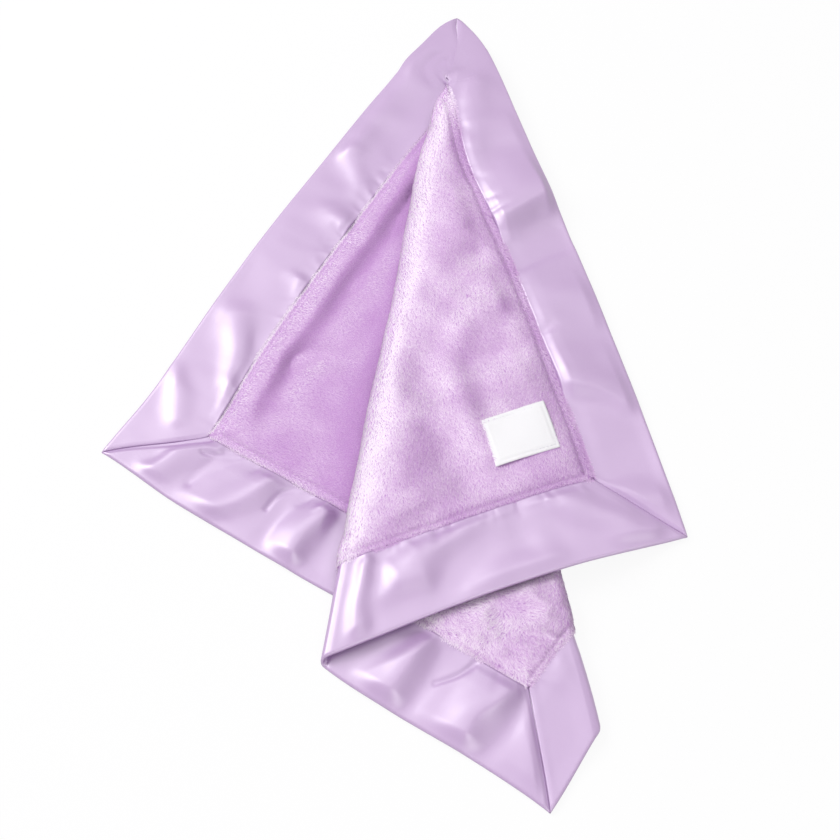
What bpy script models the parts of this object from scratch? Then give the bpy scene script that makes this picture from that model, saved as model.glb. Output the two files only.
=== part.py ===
"""Comfort blanket: a square of double plush with a wide satin border, laid flat in one knife pleat.

The blanket is laid out on its square pattern and then folded. On the pattern, a runs from the far
corner along the upper right side and b runs from it along the upper left side. Folding turns each
pattern point into a place on the laid blanket, with X to the right, Y away and Z up. The pleat opens
from a point near the far corner: the panel turns under along its first fold and comes back along
its second one, so that three layers lie on each other and the near corner shows its back.
"""

import math

import bpy
import numpy as np
from mathutils import Vector
from mathutils.geometry import delaunay_2d_cdt

# Blanket, in metres
side_length = 0.380
border_width = 0.0455
gathered_border_width = 0.0420
plush_half_thickness = 0.0028
plush_half_thickness_at_seam = 0.0014
plush_half_thickness_at_stitching = 0.0010
satin_half_thickness = 0.0010
satin_half_thickness_at_edge = 0.0006
satin_edge_taper = 0.0060
seam_gap = 0.0003
panel_gap = 0.0003
piece_gap = 0.0003

# Topstitching, label and threads, in metres
stitching_inset = 0.0040
stitching_to_full_pile = 0.0080
thread_radius = 0.00025
label_width = 0.0400
label_height = 0.0300
label_thickness = 0.0008
label_from_lower_right_seam = 0.0220
label_from_upper_right_seam = 0.0135
label_stitching_inset = 0.0015
label_cell = 0.0100

# Pleat, in metres and degrees
pleat_point_from_upper_left_side = 0.0203
pleat_point_from_upper_right_side = 0.0306
first_fold_angle = math.radians(28.95)
second_fold_angle = math.radians(48.55)
fold_radius = 0.0034
pleat_opening_length = 0.0315
upper_right_side_heading = math.radians(-70.4)
slack_start_angle = math.radians(120.4)
slack_end_angle = math.radians(91.8)

# Ease of the laid cloth, in metres and degrees
near_corner_shortening = 0.0070
right_corner_swing = math.radians(1.78)
ease_radius = 0.3600
turned_corner_blend_angle = math.radians(40.0)
right_side_blend_angle = math.radians(30.0)
first_fold_blend_share = 0.6
right_swing_limit_share = 1.3

# How the laid cloth settles in its own plane, in metres to the right and away, round each place
far_plush_corner_shift = (0.0092, 0.0011)
upper_right_seam_shift = (0.0042, 0.0039)
left_corner_shift = (0.0018, 0.0066)
left_plush_corner_shift = (0.0040, -0.0026)
upper_left_side_shift = (-0.0019, 0.0040)
near_corner_shift = (0.0045, -0.0011)
near_side_shift = (-0.0016, -0.0018)
second_fold_end_shift = (0.0008, 0.0061)
first_fold_shift = (0.0041, 0.0002)
first_fold_start_shift = (-0.0017, 0.0013)
far_side_shift = (0.0021, -0.0014)
lower_left_side_shift = (0.0020, 0.0012)
far_corner_shift = (0.0011, 0.0022)
near_plush_corner_shift = (0.0028, 0.0038)
pleat_shift_reach = 0.0270
pleat_start_shift_reach = 0.0155
first_fold_shift_reach = 0.0650
corner_shift_reach = 0.0450
side_shift_reach = 0.0800
upper_right_seam_shift_from_corner = 0.0330
upper_left_side_shift_share = 0.55
near_side_shift_share = 0.84
lower_left_side_shift_share = 0.22
far_side_shift_from_corner = 0.0340
first_fold_shift_from_pleat_point = 0.1900
first_fold_start_shift_from_pleat_point = 0.0455

# How the layers lie, in metres
resting_flat_depth = 0.0005
drape_width_past_second_fold = 0.0750
drape_width_at_lower_left_side = 0.0550
drape_start_inside_lower_left_side = 0.0300
border_drop = 0.0015
border_drop_ease = 0.0080

# Broad ripples of the satin, in metres
ripple_height = 0.0016
ripple_length = 0.0310
ripple_drift = 0.0120
ripple_clear_distance = 0.0150

# Mesh spacing, in metres and counts
fold_columns = 6
fold_row_spacing = 0.0230
plush_spacing = 0.0225
ring_spacing = 0.0200
satin_spacing = 0.0105
satin_row_shares = (0.14, 0.37, 0.62, 0.85)
opening_row_shares = (0.50, 0.80)
least_edge_share = 0.42
trace_step = 0.0005
slope_step = 0.00005
weld_distance = 0.0000005

pleat_angle = second_fold_angle - first_fold_angle
pleat_middle_angle = (first_fold_angle + second_fold_angle) / 2
seam_left = gathered_border_width
seam_right = side_length - border_width


def eased_step(x):
    """Rises smoothly from 0 to 1 while x goes from 0 to 1."""
    x = np.clip(x, 0.0, 1.0)
    return x * x * (3.0 - 2.0 * x)


def polar_from_pleat_point(a, b):
    """Distance and angle of pattern points about the pleat's point."""
    along_a = a - pleat_point_from_upper_left_side
    along_b = b - pleat_point_from_upper_right_side
    return np.hypot(along_a, along_b), np.arctan2(along_b, along_a)


def eased_polar(a, b):
    """Polar place of pattern points after the cloth's small shifts in its own plane."""
    radius, angle = polar_from_pleat_point(a, b)
    far = (radius / ease_radius) ** 2
    rise = eased_step((angle - first_fold_angle) / (first_fold_blend_share * pleat_angle))
    fall = 1.0 - eased_step((angle - second_fold_angle) / turned_corner_blend_angle)
    swing = np.clip((first_fold_angle - angle) / right_side_blend_angle, 0.0, right_swing_limit_share)
    return radius - near_corner_shortening * far * rise * fall, angle + right_corner_swing * far * swing


def turn_of_folds(radius):
    """How far each of the two folds turns at a distance from the pleat's point: half a turn when shut."""
    return math.pi * eased_step(radius / pleat_opening_length)


def radius_of_folds(radius, turn):
    """The folds' own bend radius, which shrinks towards the pleat's point."""
    available = radius * pleat_angle / np.maximum(turn, weld_distance)
    return np.minimum(fold_radius, available)


def seam_distance(a, b):
    """Distance inside the seam between plush and satin, negative on the satin."""
    across = np.minimum(a - seam_left, seam_right - a)
    along = np.minimum(b - border_width, seam_right - b)
    return np.minimum(across, along)


def edge_distance(a, b):
    """Distance from the blanket's outer edge."""
    return np.minimum(np.minimum(a, side_length - a), np.minimum(b, side_length - b))


def lower_left_side_distance(x, y):
    """How far places on the laid blanket lie past its lower left side, seen from above."""
    ends = []
    for a in (0.0, side_length):
        radius, angle = polar_from_pleat_point(a, side_length)
        heading = upper_right_side_heading - (angle - 2.0 * pleat_angle)
        ends.append((radius * math.cos(heading), radius * math.sin(heading)))
    (x0, y0), (x1, y1) = ends
    length = math.hypot(x1 - x0, y1 - y0)
    return ((x - x0) * (y1 - y0) - (y - y0) * (x1 - x0)) / length


def ripple(a, b, layer, angle, radius):
    """Broad soft waves of the satin where nothing lies on it."""
    along = np.where(np.minimum(b, side_length - b) < np.minimum(a, side_length - a), a, b)
    across = np.clip(edge_distance(a, b) / border_width, 0.0, 1.0)
    wave = 0.5 + 0.5 * np.cos(2.0 * math.pi * (along + ripple_drift * across) / ripple_length)
    under_front = pleat_point_from_upper_left_side + radius * np.cos(2.0 * first_fold_angle - angle)
    clear_of_front = (under_front - side_length) / ripple_clear_distance
    clear_of_pleat = radius * (angle - second_fold_angle - pleat_angle) / ripple_clear_distance
    clear = np.where(layer == 0, 1.0, np.where(layer == 1, clear_of_front, clear_of_pleat))
    from_fold = radius * np.abs(first_fold_angle - angle) / ripple_clear_distance
    return ripple_height * wave * np.sin(math.pi * across) * eased_step(clear) * eased_step(from_fold)


def folded_surface(a, b):
    """Places of the surface between the two faces as the pleat alone lays it."""
    a = np.asarray(a, dtype=float)
    b = np.asarray(b, dtype=float)
    radius, angle = eased_polar(a, b)
    radius = np.maximum(radius, weld_distance)
    angle = (angle - pleat_middle_angle + math.pi) % (2.0 * math.pi) - math.pi + pleat_middle_angle

    turn = turn_of_folds(radius)
    bend = radius_of_folds(radius, turn)
    straight = np.maximum(radius * pleat_angle - bend * turn, 0.0)
    step = bend * (1.0 - np.cos(turn))
    top = 2.0 * step + straight * np.sin(turn)

    # Run along the cloth at a constant distance from the pleat's point: the arc of the first fold,
    # the straight middle layer and the arc of the second fold
    run = radius * (angle - first_fold_angle)
    first_start = -bend * turn / 2.0
    first_end = -first_start
    second_start = first_end + straight
    second_end = second_start + bend * turn
    place_1 = first_start + bend * np.sin(turn)
    height_1 = top - step
    place_2 = place_1 + straight * np.cos(turn)
    height_2 = height_1 - straight * np.sin(turn)
    place_3 = place_2 + bend * np.sin(turn)

    turned_1 = (run - first_start) / bend
    turned_2 = (run - second_start) / bend
    in_front = run < first_start
    in_first = run < first_end
    in_middle = run < second_start
    in_second = run < second_end
    place = np.select(
        [in_front, in_first, in_middle, in_second],
        [
            run,
            first_start + bend * np.sin(turned_1),
            place_1 + (run - first_end) * np.cos(turn),
            place_2 + bend * (np.sin(turn) - np.sin(turn - turned_2)),
        ],
        place_3 + run - second_end,
    )
    height = np.select(
        [in_front, in_first, in_middle, in_second],
        [
            top,
            top - bend * (1.0 - np.cos(turned_1)),
            height_1 - (run - first_end) * np.sin(turn),
            height_2 - bend * (np.cos(turn - turned_2) - np.cos(turn)),
        ],
        0.0,
    )
    layer = np.where(run < 0.0, 0, np.where(run < radius * pleat_angle, 1, 2))
    laid_angle = first_fold_angle + place / radius

    # Behind the pleat's point the cloth's slack spreads over the far corner
    slack_start = pleat_middle_angle + slack_start_angle
    slack_end = pleat_middle_angle + 2.0 * math.pi - slack_end_angle
    full_angle = np.where(angle < pleat_middle_angle, angle + 2.0 * math.pi, angle)
    behind = (full_angle > slack_start) & (full_angle < slack_end)
    spread = eased_step((full_angle - slack_start) / (slack_end - slack_start))
    turned_away = (place_3 - second_end) / radius
    laid_angle = np.where(behind, full_angle + turned_away * (1.0 - spread), laid_angle)

    heading = upper_right_side_heading - laid_angle
    x = radius * np.cos(heading)
    y = radius * np.sin(heading)

    # Upper layers come down to the surface past the edges of what lies under them
    front_angle = np.where(behind, laid_angle - 2.0 * math.pi, laid_angle)
    past_fold = radius * (first_fold_angle - pleat_angle - front_angle) - fold_radius
    on_middle = 1.0 - eased_step(past_fold / drape_width_past_second_fold)
    past_start = lower_left_side_distance(x, y) + drape_start_inside_lower_left_side
    on_lower = 1.0 - eased_step(past_start / drape_width_at_lower_left_side)
    front_height = step * on_middle * (1.0 + on_lower)
    lifted = np.clip(height / np.maximum(step, weld_distance), 0.0, 1.0)
    middle_height = height - step * (1.0 - on_lower) * lifted
    laid_height = np.where(layer == 0, np.where(in_front, front_height, middle_height), middle_height)
    laid_height = np.where(behind, spread * front_height, laid_height)

    inside = seam_distance(a, b)
    drop = border_drop * eased_step((border_drop_ease - inside) / (2.0 * border_drop_ease))
    on_satin = eased_step(-inside / border_drop_ease)
    rise = ripple(a, b, np.where(behind, 0, layer), angle, radius) * on_satin
    z = plush_half_thickness - resting_flat_depth + laid_height - drop + rise
    return np.stack([x, y, z], axis=-1)


def first_fold_place(distance):
    """Pattern place on the first fold at a distance from the pleat's point."""
    a = pleat_point_from_upper_left_side + distance * math.cos(first_fold_angle)
    b = pleat_point_from_upper_right_side + distance * math.sin(first_fold_angle)
    return a, b


def settling_shifts():
    """Pattern places round which the laid cloth shifts, with each shift and its reach."""
    second_fold_run = (side_length - pleat_point_from_upper_right_side) / math.tan(second_fold_angle)
    second_fold_end = (pleat_point_from_upper_left_side + second_fold_run, side_length)
    upper_right_seam = (seam_left + upper_right_seam_shift_from_corner, border_width)
    upper_left_side = (border_width / 2.0, side_length * upper_left_side_shift_share)
    near_side = (side_length - border_width / 2.0, side_length * near_side_shift_share)
    lower_left_side = (side_length * lower_left_side_shift_share, side_length)
    far_side = (0.0, far_side_shift_from_corner)
    first_fold = first_fold_place(first_fold_shift_from_pleat_point)
    first_fold_start = first_fold_place(first_fold_start_shift_from_pleat_point)
    return (
        ((seam_left, border_width), far_plush_corner_shift, pleat_shift_reach),
        (upper_right_seam, upper_right_seam_shift, pleat_shift_reach),
        ((0.0, side_length), left_corner_shift, corner_shift_reach),
        ((seam_left, seam_right), left_plush_corner_shift, corner_shift_reach),
        (upper_left_side, upper_left_side_shift, side_shift_reach),
        ((side_length, side_length), near_corner_shift, corner_shift_reach),
        (near_side, near_side_shift, corner_shift_reach),
        (second_fold_end, second_fold_end_shift, corner_shift_reach),
        (lower_left_side, lower_left_side_shift, corner_shift_reach),
        (far_side, far_side_shift, pleat_start_shift_reach),
        (first_fold, first_fold_shift, first_fold_shift_reach),
        (first_fold_start, first_fold_start_shift, pleat_start_shift_reach),
        ((0.0, 0.0), far_corner_shift, pleat_shift_reach),
        ((seam_right, seam_right), near_plush_corner_shift, corner_shift_reach),
    )


def middle_surface(a, b):
    """Places on the laid blanket of the surface between its two faces."""
    places = folded_surface(a, b)
    settled = places.copy()
    for pattern_place, shift, reach in settling_shifts():
        centre = folded_surface(*pattern_place)[:2]
        distance = np.linalg.norm(places[..., :2] - centre, axis=-1)
        near = np.exp(-((distance / reach) ** 2))
        settled[..., :2] += near[..., None] * np.array(shift)
    return settled


def face_normal(a, b):
    """Unit normal of the middle surface on the side of the front face."""
    along_a = middle_surface(a + slope_step, b) - middle_surface(a - slope_step, b)
    along_b = middle_surface(a, b + slope_step) - middle_surface(a, b - slope_step)
    normal = np.cross(along_b, along_a)
    return normal / np.linalg.norm(normal, axis=-1, keepdims=True)


def offset_surface(a, b, offset):
    """Places at an offset from the middle surface, cut flat where the blanket rests."""
    places = middle_surface(a, b) + face_normal(a, b) * np.asarray(offset)[..., None]
    places[..., 2] = np.maximum(places[..., 2], 0.0)
    return places


def plush_thickness(a, b):
    """Half thickness of the plush, pressed in at its seam and under its topstitching."""
    stops = [0.0, stitching_inset, stitching_inset + stitching_to_full_pile]
    values = [plush_half_thickness_at_seam, plush_half_thickness_at_stitching, plush_half_thickness]
    return np.interp(seam_distance(a, b), stops, values)


def satin_thickness(a, b):
    """Half thickness of the satin border, thinner at its outer edge."""
    stops = [0.0, satin_edge_taper]
    return np.interp(edge_distance(a, b), stops, [satin_half_thickness_at_edge, satin_half_thickness])


def fold_traces():
    """Pattern lines along the two folds, evenly spread over each fold's arc."""
    radius = np.arange(opening_row_shares[0] * pleat_opening_length, 2.0 * side_length, trace_step)
    turn = turn_of_folds(radius)
    bend = radius_of_folds(radius, turn)
    traces = []
    for middle in (first_fold_angle, second_fold_angle):
        for column in range(fold_columns):
            share = column / (fold_columns - 1) - 0.5
            angle = middle + bend * turn * share / radius
            a = pleat_point_from_upper_left_side + radius * np.cos(angle)
            b = pleat_point_from_upper_right_side + radius * np.sin(angle)
            traces.append(np.stack([radius, a, b], axis=-1))
    return traces


def inward_distances(polygon, points):
    """Distance of points inside each side of a convex pattern polygon."""
    points = np.atleast_2d(points)
    distances = []
    for start, end in zip(polygon, np.roll(polygon, -1, axis=0)):
        along = (end - start) / np.linalg.norm(end - start)
        offset = points - start
        distances.append(along[0] * offset[:, 1] - along[1] * offset[:, 0])
    return np.stack(distances, axis=-1)


def inset_polygon(polygon, insets):
    """A convex pattern polygon with each side moved in by its own distance."""
    lines = []
    for start, end, inset in zip(polygon, np.roll(polygon, -1, axis=0), insets):
        along = (end - start) / np.linalg.norm(end - start)
        inward = np.array([-along[1], along[0]])
        lines.append((inward, inward @ start + inset))
    corners = []
    for index in range(len(lines)):
        (normal_0, level_0), (normal_1, level_1) = lines[index - 1], lines[index]
        corners.append(np.linalg.solve(np.array([normal_0, normal_1]), np.array([level_0, level_1])))
    return np.array(corners)


def trace_crossings(polygon, trace):
    """Where a fold line crosses a polygon's outline, as radius, place and side."""
    distances = inward_distances(polygon, trace[:, 1:])
    inside = distances.min(axis=1) > 0.0
    crossings = []
    for index in np.flatnonzero(inside[1:] != inside[:-1]):
        outer = index if not inside[index] else index + 1
        side = int(distances[outer].argmin())
        before, after = distances[index, side], distances[index + 1, side]
        share = before / (before - after)
        radius, a, b = trace[index] + share * (trace[index + 1] - trace[index])
        crossings.append((radius, np.array([a, b]), side))
    return crossings


def outline_points(polygon, crossings, spacing):
    """Points round a polygon: its corners, its crossings with the folds and even steps between."""
    outline = []
    for side, (start, end) in enumerate(zip(polygon, np.roll(polygon, -1, axis=0))):
        length = np.linalg.norm(end - start)
        fixed = [0.0, length]
        fixed += [np.linalg.norm(place - start) for _, place, on_side in crossings if on_side == side]
        fixed = sorted(fixed)
        stops = []
        for first, second in zip(fixed[:-1], fixed[1:]):
            steps = max(1, math.ceil((second - first) / spacing - least_edge_share))
            stops += [first + (second - first) * step / steps for step in range(steps)]
        outline += [start + (end - start) * stop / length for stop in stops]
    return outline


class PatternMesh:
    """Points and fixed lines of one panel on the pattern, ready to be cut into triangles."""

    def __init__(self, polygon, spacing):
        self.polygon = polygon
        self.spacing = spacing
        self.points = []
        self.lines = []
        self.traces = fold_traces()
        self.trace_stops = [[] for _ in self.traces]
        self.outline_count = 0
        self.add_ring(polygon, spacing)
        self.outline_count = len(self.points)

    def add_point(self, place):
        """Adds a point, or finds the one that is already there."""
        for index, known in enumerate(self.points):
            if np.abs(known - place).max() < weld_distance:
                return index
        self.points.append(np.asarray(place, dtype=float))
        return len(self.points) - 1

    def add_ring(self, polygon, spacing):
        """Adds a closed line, with a point where each fold line crosses it."""
        crossings = []
        for number, trace in enumerate(self.traces):
            found = trace_crossings(polygon, trace)
            crossings += found
            self.trace_stops[number] += [(radius, place) for radius, place, _ in found]
        indices = [self.add_point(place) for place in outline_points(polygon, crossings, spacing)]
        self.lines += list(zip(indices, indices[1:] + indices[:1]))

    def clearance(self, place):
        """Distance of a place inside the panel's outline."""
        return inward_distances(self.polygon, place).min()

    def add_fold_rows(self, radii, rings, least_clearance):
        """Adds rows of points along the folds, away from the outline and the rings."""
        for number, trace in enumerate(self.traces):
            for radius in radii:
                place = np.array([np.interp(radius, trace[:, 0], trace[:, axis]) for axis in (1, 2)])
                off_rings = min(
                    (abs(inward_distances(ring, place).min()) for ring in rings), default=least_clearance
                )
                if self.clearance(place) > least_clearance and off_rings >= least_clearance:
                    self.trace_stops[number].append((radius, place))

    def add_fold_lines(self):
        """Joins the points of each fold line inside the panel."""
        for stops in self.trace_stops:
            stops.sort(key=lambda stop: stop[0])
            indices = [self.add_point(place) for _, place in stops]
            for (first, second), (start, end) in zip(zip(indices, indices[1:]), zip(stops, stops[1:])):
                between = (start[1] + end[1]) / 2.0
                if first != second and self.clearance(between) > -weld_distance:
                    self.lines.append((first, second))

    def near_folds(self, place, margin):
        """Whether a place lies on a fold's arc or within a margin of it."""
        radius, angle = polar_from_pleat_point(place[0], place[1])
        reach = math.pi * fold_radius / 2.0 + margin
        for middle in (first_fold_angle, second_fold_angle):
            if radius * math.cos(angle - middle) > 0.0 and abs(radius * math.sin(angle - middle)) < reach:
                return True
        return False

    def add_field(self, places, rings, least_clearance):
        """Adds loose points, away from the outline, the rings and the folds."""
        for place in places:
            off_rings = min((abs(inward_distances(ring, place).min()) for ring in rings), default=1.0)
            if self.clearance(place) > least_clearance and off_rings > least_clearance:
                if not self.near_folds(place, least_clearance):
                    self.add_point(place)

    def triangles(self):
        """The panel's points and triangles, counter-clockwise on the pattern."""
        points = [Vector((float(a), float(b))) for a, b in self.points]
        outline = list(range(self.outline_count))
        found = delaunay_2d_cdt(points, self.lines, [outline], 1, weld_distance)
        corners = np.array([(point.x, point.y) for point in found[0]])
        faces = []
        for face in found[2]:
            (ax, ay), (bx, by), (cx, cy) = (corners[index] for index in face)
            area = (bx - ax) * (cy - ay) - (by - ay) * (cx - ax)
            faces.append(tuple(face) if area > 0.0 else tuple(reversed(face)))
        used = sorted({index for face in faces for index in face})
        renumbered = {index: number for number, index in enumerate(used)}
        return corners[used], [tuple(renumbered[index] for index in face) for face in faces]


def slab(points, triangles, front_offset, back_offset):
    """Vertices and faces of a closed slab between two offsets from the middle surface."""
    a, b = points[:, 0], points[:, 1]
    front = offset_surface(a, b, front_offset(a, b))
    back = offset_surface(a, b, back_offset(a, b))
    count = len(points)
    faces = [tuple(reversed(face)) for face in triangles]
    faces += [tuple(index + count for index in face) for face in triangles]
    order = a + 2.0 * b
    directed = {(face[k], face[(k + 1) % 3]) for face in triangles for k in range(3)}
    for start, end in sorted(directed):
        if (end, start) in directed:
            continue
        # Both sides of a seam are cut along the same diagonal, so that their gap stays even
        if order[start] < order[end]:
            faces.append((end + count, start + count, start))
            faces.append((end + count, start, end))
        else:
            faces.append((end + count, start + count, end))
            faces.append((start + count, start, end))
    return np.concatenate([front, back]), faces


def thread_loop(path, offset):
    """Vertices and faces of a closed thread that lies on a face of the blanket."""
    path = np.array(path)
    centres = middle_surface(path[:, 0], path[:, 1])
    normals = face_normal(path[:, 0], path[:, 1])
    centres = centres + normals * offset
    ahead = np.roll(centres, -1, axis=0) - centres
    ahead /= np.linalg.norm(ahead, axis=-1, keepdims=True)
    tangents = ahead + np.roll(ahead, 1, axis=0)
    tangents /= np.linalg.norm(tangents, axis=-1, keepdims=True)
    sideways = np.cross(normals, tangents)
    sideways /= np.linalg.norm(sideways, axis=-1, keepdims=True)
    upright = np.cross(tangents, sideways)
    corners = [centres + thread_radius * way for way in (upright, sideways, -upright, -sideways)]
    vertices = np.concatenate(corners)
    count = len(path)
    faces = []
    for corner in range(4):
        following = (corner + 1) % 4
        for index in range(count):
            after = (index + 1) % count
            faces.append(
                (
                    corner * count + index,
                    corner * count + after,
                    following * count + after,
                    following * count + index,
                )
            )
    return vertices, faces


def rectangle(low_a, low_b, high_a, high_b):
    """Corners of a pattern rectangle, counter-clockwise."""
    return np.array([(low_a, low_b), (high_a, low_b), (high_a, high_b), (low_a, high_b)])


def plush_outline():
    """The plush panel's pattern, half the seam's gap inside the seam."""
    seam = rectangle(seam_left, border_width, seam_right, seam_right)
    return inset_polygon(seam, [seam_gap / 2.0] * 4)


def stitching_outline():
    """The topstitching's line on the pattern."""
    seam = rectangle(seam_left, border_width, seam_right, seam_right)
    return inset_polygon(seam, [stitching_inset] * 4)


def label_outline():
    """The label's pattern, parallel to the lower right side."""
    high_a = seam_right - label_from_lower_right_seam
    low_b = border_width + label_from_upper_right_seam
    return rectangle(high_a - label_height, low_b, high_a, low_b + label_width)


def label_grid(margin_cells):
    """Pattern points of the label's grid, with whole cells added round it."""
    (low_a, low_b), _, (high_a, high_b), _ = label_outline()
    rows = round((high_a - low_a) / label_cell)
    columns = round((high_b - low_b) / label_cell)
    row_step = (high_a - low_a) / rows
    column_step = (high_b - low_b) / columns
    return [
        np.array([low_a + row * row_step, low_b + column * column_step])
        for row in range(-margin_cells, rows + 1 + margin_cells)
        for column in range(-margin_cells, columns + 1 + margin_cells)
    ]


def plush_pattern():
    """The plush panel cut into triangles, with the topstitching's line kept."""
    ring = stitching_outline()
    mesh = PatternMesh(plush_outline(), ring_spacing)
    mesh.add_ring(ring, ring_spacing)
    row_count = math.ceil(2.0 * side_length / fold_row_spacing)
    radii = [share * pleat_opening_length for share in opening_row_shares]
    radii += [pleat_opening_length + row * fold_row_spacing for row in range(row_count)]
    mesh.add_fold_rows(radii, [ring], fold_row_spacing * least_edge_share)
    mesh.add_fold_lines()
    clearance = plush_spacing * least_edge_share
    around_label = label_grid(1)
    mesh.add_field(around_label, [ring], stitching_inset)
    low = np.min(around_label, axis=0) - clearance
    high = np.max(around_label, axis=0) + clearance
    steps = math.ceil(side_length / plush_spacing)
    field = [np.array([i, j]) * plush_spacing for i in range(steps) for j in range(steps)]
    field = [place for place in field if (place < low).any() or (place > high).any()]
    mesh.add_field(field, [ring], clearance)
    return mesh.triangles()


def satin_outline(side):
    """Pattern of one satin strip, mitred at both ends, with half gaps at its seams."""
    outer = rectangle(0.0, 0.0, side_length, side_length)
    inner = rectangle(seam_left, border_width, seam_right, seam_right)
    after = (side + 1) % 4
    strip = np.array([outer[side], outer[after], inner[after], inner[side]])
    return inset_polygon(strip, [0.0, seam_gap / 2.0, seam_gap / 2.0, seam_gap / 2.0])


def satin_pattern(side):
    """One satin strip cut into triangles."""
    outline = satin_outline(side)
    mesh = PatternMesh(outline, satin_spacing)
    width = np.linalg.norm(inward_distances(outline, outline[2])[0, 0])
    radii = [share * pleat_opening_length for share in opening_row_shares]
    row_count = math.ceil(2.0 * side_length / satin_spacing)
    radii += [pleat_opening_length + row * satin_spacing for row in range(row_count)]
    clearance = satin_spacing * least_edge_share
    mesh.add_fold_rows(radii, [], clearance)
    mesh.add_fold_lines()
    along = (outline[1] - outline[0]) / np.linalg.norm(outline[1] - outline[0])
    inward = np.array([-along[1], along[0]])
    steps = math.floor(side_length / satin_spacing)
    field = [
        outline[0] + along * step * satin_spacing + inward * width * share
        for share in satin_row_shares
        for step in range(steps)
    ]
    mesh.add_field(field, [], clearance)
    return mesh.triangles()


def make_material(name, colour, roughness):
    """A plain material with the piece's own colour and roughness."""
    material = bpy.data.materials.new(name)
    material.use_nodes = True
    shader = material.node_tree.nodes["Principled BSDF"]
    shader.inputs["Base Color"].default_value = (*colour, 1.0)
    shader.inputs["Roughness"].default_value = roughness
    shader.inputs["Metallic"].default_value = 0.0
    return material


def make_object(name, vertices, faces, material):
    """One named object with its own mesh and material."""
    mesh = bpy.data.meshes.new(name)
    mesh.from_pydata([tuple(vertex) for vertex in vertices], [], faces)
    mesh.materials.append(material)
    mesh.shade_smooth()
    mesh.set_sharp_from_angle(angle=math.radians(40.0))
    obj = bpy.data.objects.new(name, mesh)
    bpy.context.collection.objects.link(obj)
    return obj


def label_slab():
    """The woven label, lying on the front plush."""
    (low_a, low_b), _, (high_a, high_b), _ = label_outline()
    rows = round((high_a - low_a) / label_cell)
    columns = round((high_b - low_b) / label_cell)
    points = np.array(label_grid(0))
    triangles = []
    for row in range(rows):
        for column in range(columns):
            corner = row * (columns + 1) + column
            across = corner + columns + 1
            triangles.append((corner, across, across + 1))
            triangles.append((corner, across + 1, corner + 1))
    lower = plush_half_thickness + piece_gap
    upper = lower + label_thickness
    return slab(
        points,
        triangles,
        lambda a, b: np.full_like(a, upper),
        lambda a, b: np.full_like(a, lower),
    )


def build():
    """Makes every piece and moves them so that the origin is under the middle of the blanket."""
    plush_points, plush_triangles = plush_pattern()
    pieces = {
        "plush_front": slab(
            plush_points, plush_triangles, plush_thickness, lambda a, b: np.full_like(a, panel_gap / 2.0)
        ),
        "plush_back": slab(
            plush_points,
            plush_triangles,
            lambda a, b: np.full_like(a, -panel_gap / 2.0),
            lambda a, b: -plush_thickness(a, b),
        ),
    }
    sides = ("satin_upper_right", "satin_lower_right", "satin_lower_left", "satin_upper_left")
    for number, name in enumerate(sides):
        points, triangles = satin_pattern(number)
        pieces[name] = slab(points, triangles, satin_thickness, lambda a, b: -satin_thickness(a, b))

    stitching = PatternMesh(stitching_outline(), ring_spacing).points
    reach = plush_half_thickness_at_stitching + piece_gap + thread_radius
    pieces["topstitching_front"] = thread_loop(stitching, reach)
    pieces["topstitching_back"] = thread_loop(stitching[::-1], -reach)
    pieces["label"] = label_slab()
    label_line = inset_polygon(label_outline(), [label_stitching_inset] * 4)
    label_path = outline_points(label_line, [], label_cell)
    label_top = plush_half_thickness + piece_gap + label_thickness + piece_gap + thread_radius
    pieces["label_stitching"] = thread_loop(label_path, label_top)

    materials = {
        "plush": make_material("plush", (0.68, 0.46, 0.74), 0.95),
        "satin": make_material("satin", (0.66, 0.50, 0.74), 0.32),
        "topstitching": make_material("thread", (0.70, 0.52, 0.76), 0.70),
        "label": make_material("label_weave", (0.88, 0.87, 0.90), 0.80),
        "label_stitching": make_material("label_thread", (0.85, 0.84, 0.88), 0.70),
    }
    everything = np.concatenate([vertices for vertices, _ in pieces.values()])
    low = everything.min(axis=0)
    high = everything.max(axis=0)
    origin = np.array([(low[0] + high[0]) / 2.0, (low[1] + high[1]) / 2.0, low[2]])
    for name, (vertices, faces) in pieces.items():
        material = materials.get(name, materials[name.split("_")[0]])
        make_object(name, vertices - origin, faces, material)
    print("laid size in metres:", np.round(high - low, 4), "origin was", np.round(origin, 5))


def main():
    """Clears the scene and builds the blanket."""
    for obj in list(bpy.data.objects):
        bpy.data.objects.remove(obj)
    build()


main()
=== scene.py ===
"""Comfort blanket of double plush with a wide satin border, laid flat in one knife pleat.

Every piece is first laid out on the blanket's square pattern, where a runs from the far corner along
the upper right side and b from it along the upper left side, and is then folded onto the frame.
"""

from __future__ import annotations

import logging
import math
from dataclasses import dataclass
from enum import Enum

import bpy
import numpy as np
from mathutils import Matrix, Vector


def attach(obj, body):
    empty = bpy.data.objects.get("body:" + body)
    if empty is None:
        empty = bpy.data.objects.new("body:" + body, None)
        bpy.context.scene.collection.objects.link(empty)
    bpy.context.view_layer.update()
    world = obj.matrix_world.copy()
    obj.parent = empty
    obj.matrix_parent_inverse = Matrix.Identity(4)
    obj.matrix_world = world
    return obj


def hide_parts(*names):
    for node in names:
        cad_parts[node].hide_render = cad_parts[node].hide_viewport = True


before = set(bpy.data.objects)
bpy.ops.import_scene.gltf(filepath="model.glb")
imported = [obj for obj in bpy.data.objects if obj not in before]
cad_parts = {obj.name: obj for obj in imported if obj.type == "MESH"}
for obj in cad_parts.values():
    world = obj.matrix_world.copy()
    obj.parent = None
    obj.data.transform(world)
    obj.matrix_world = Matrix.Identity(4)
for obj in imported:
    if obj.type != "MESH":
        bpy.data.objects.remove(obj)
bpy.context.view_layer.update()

log = logging.getLogger("blanket")

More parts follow.
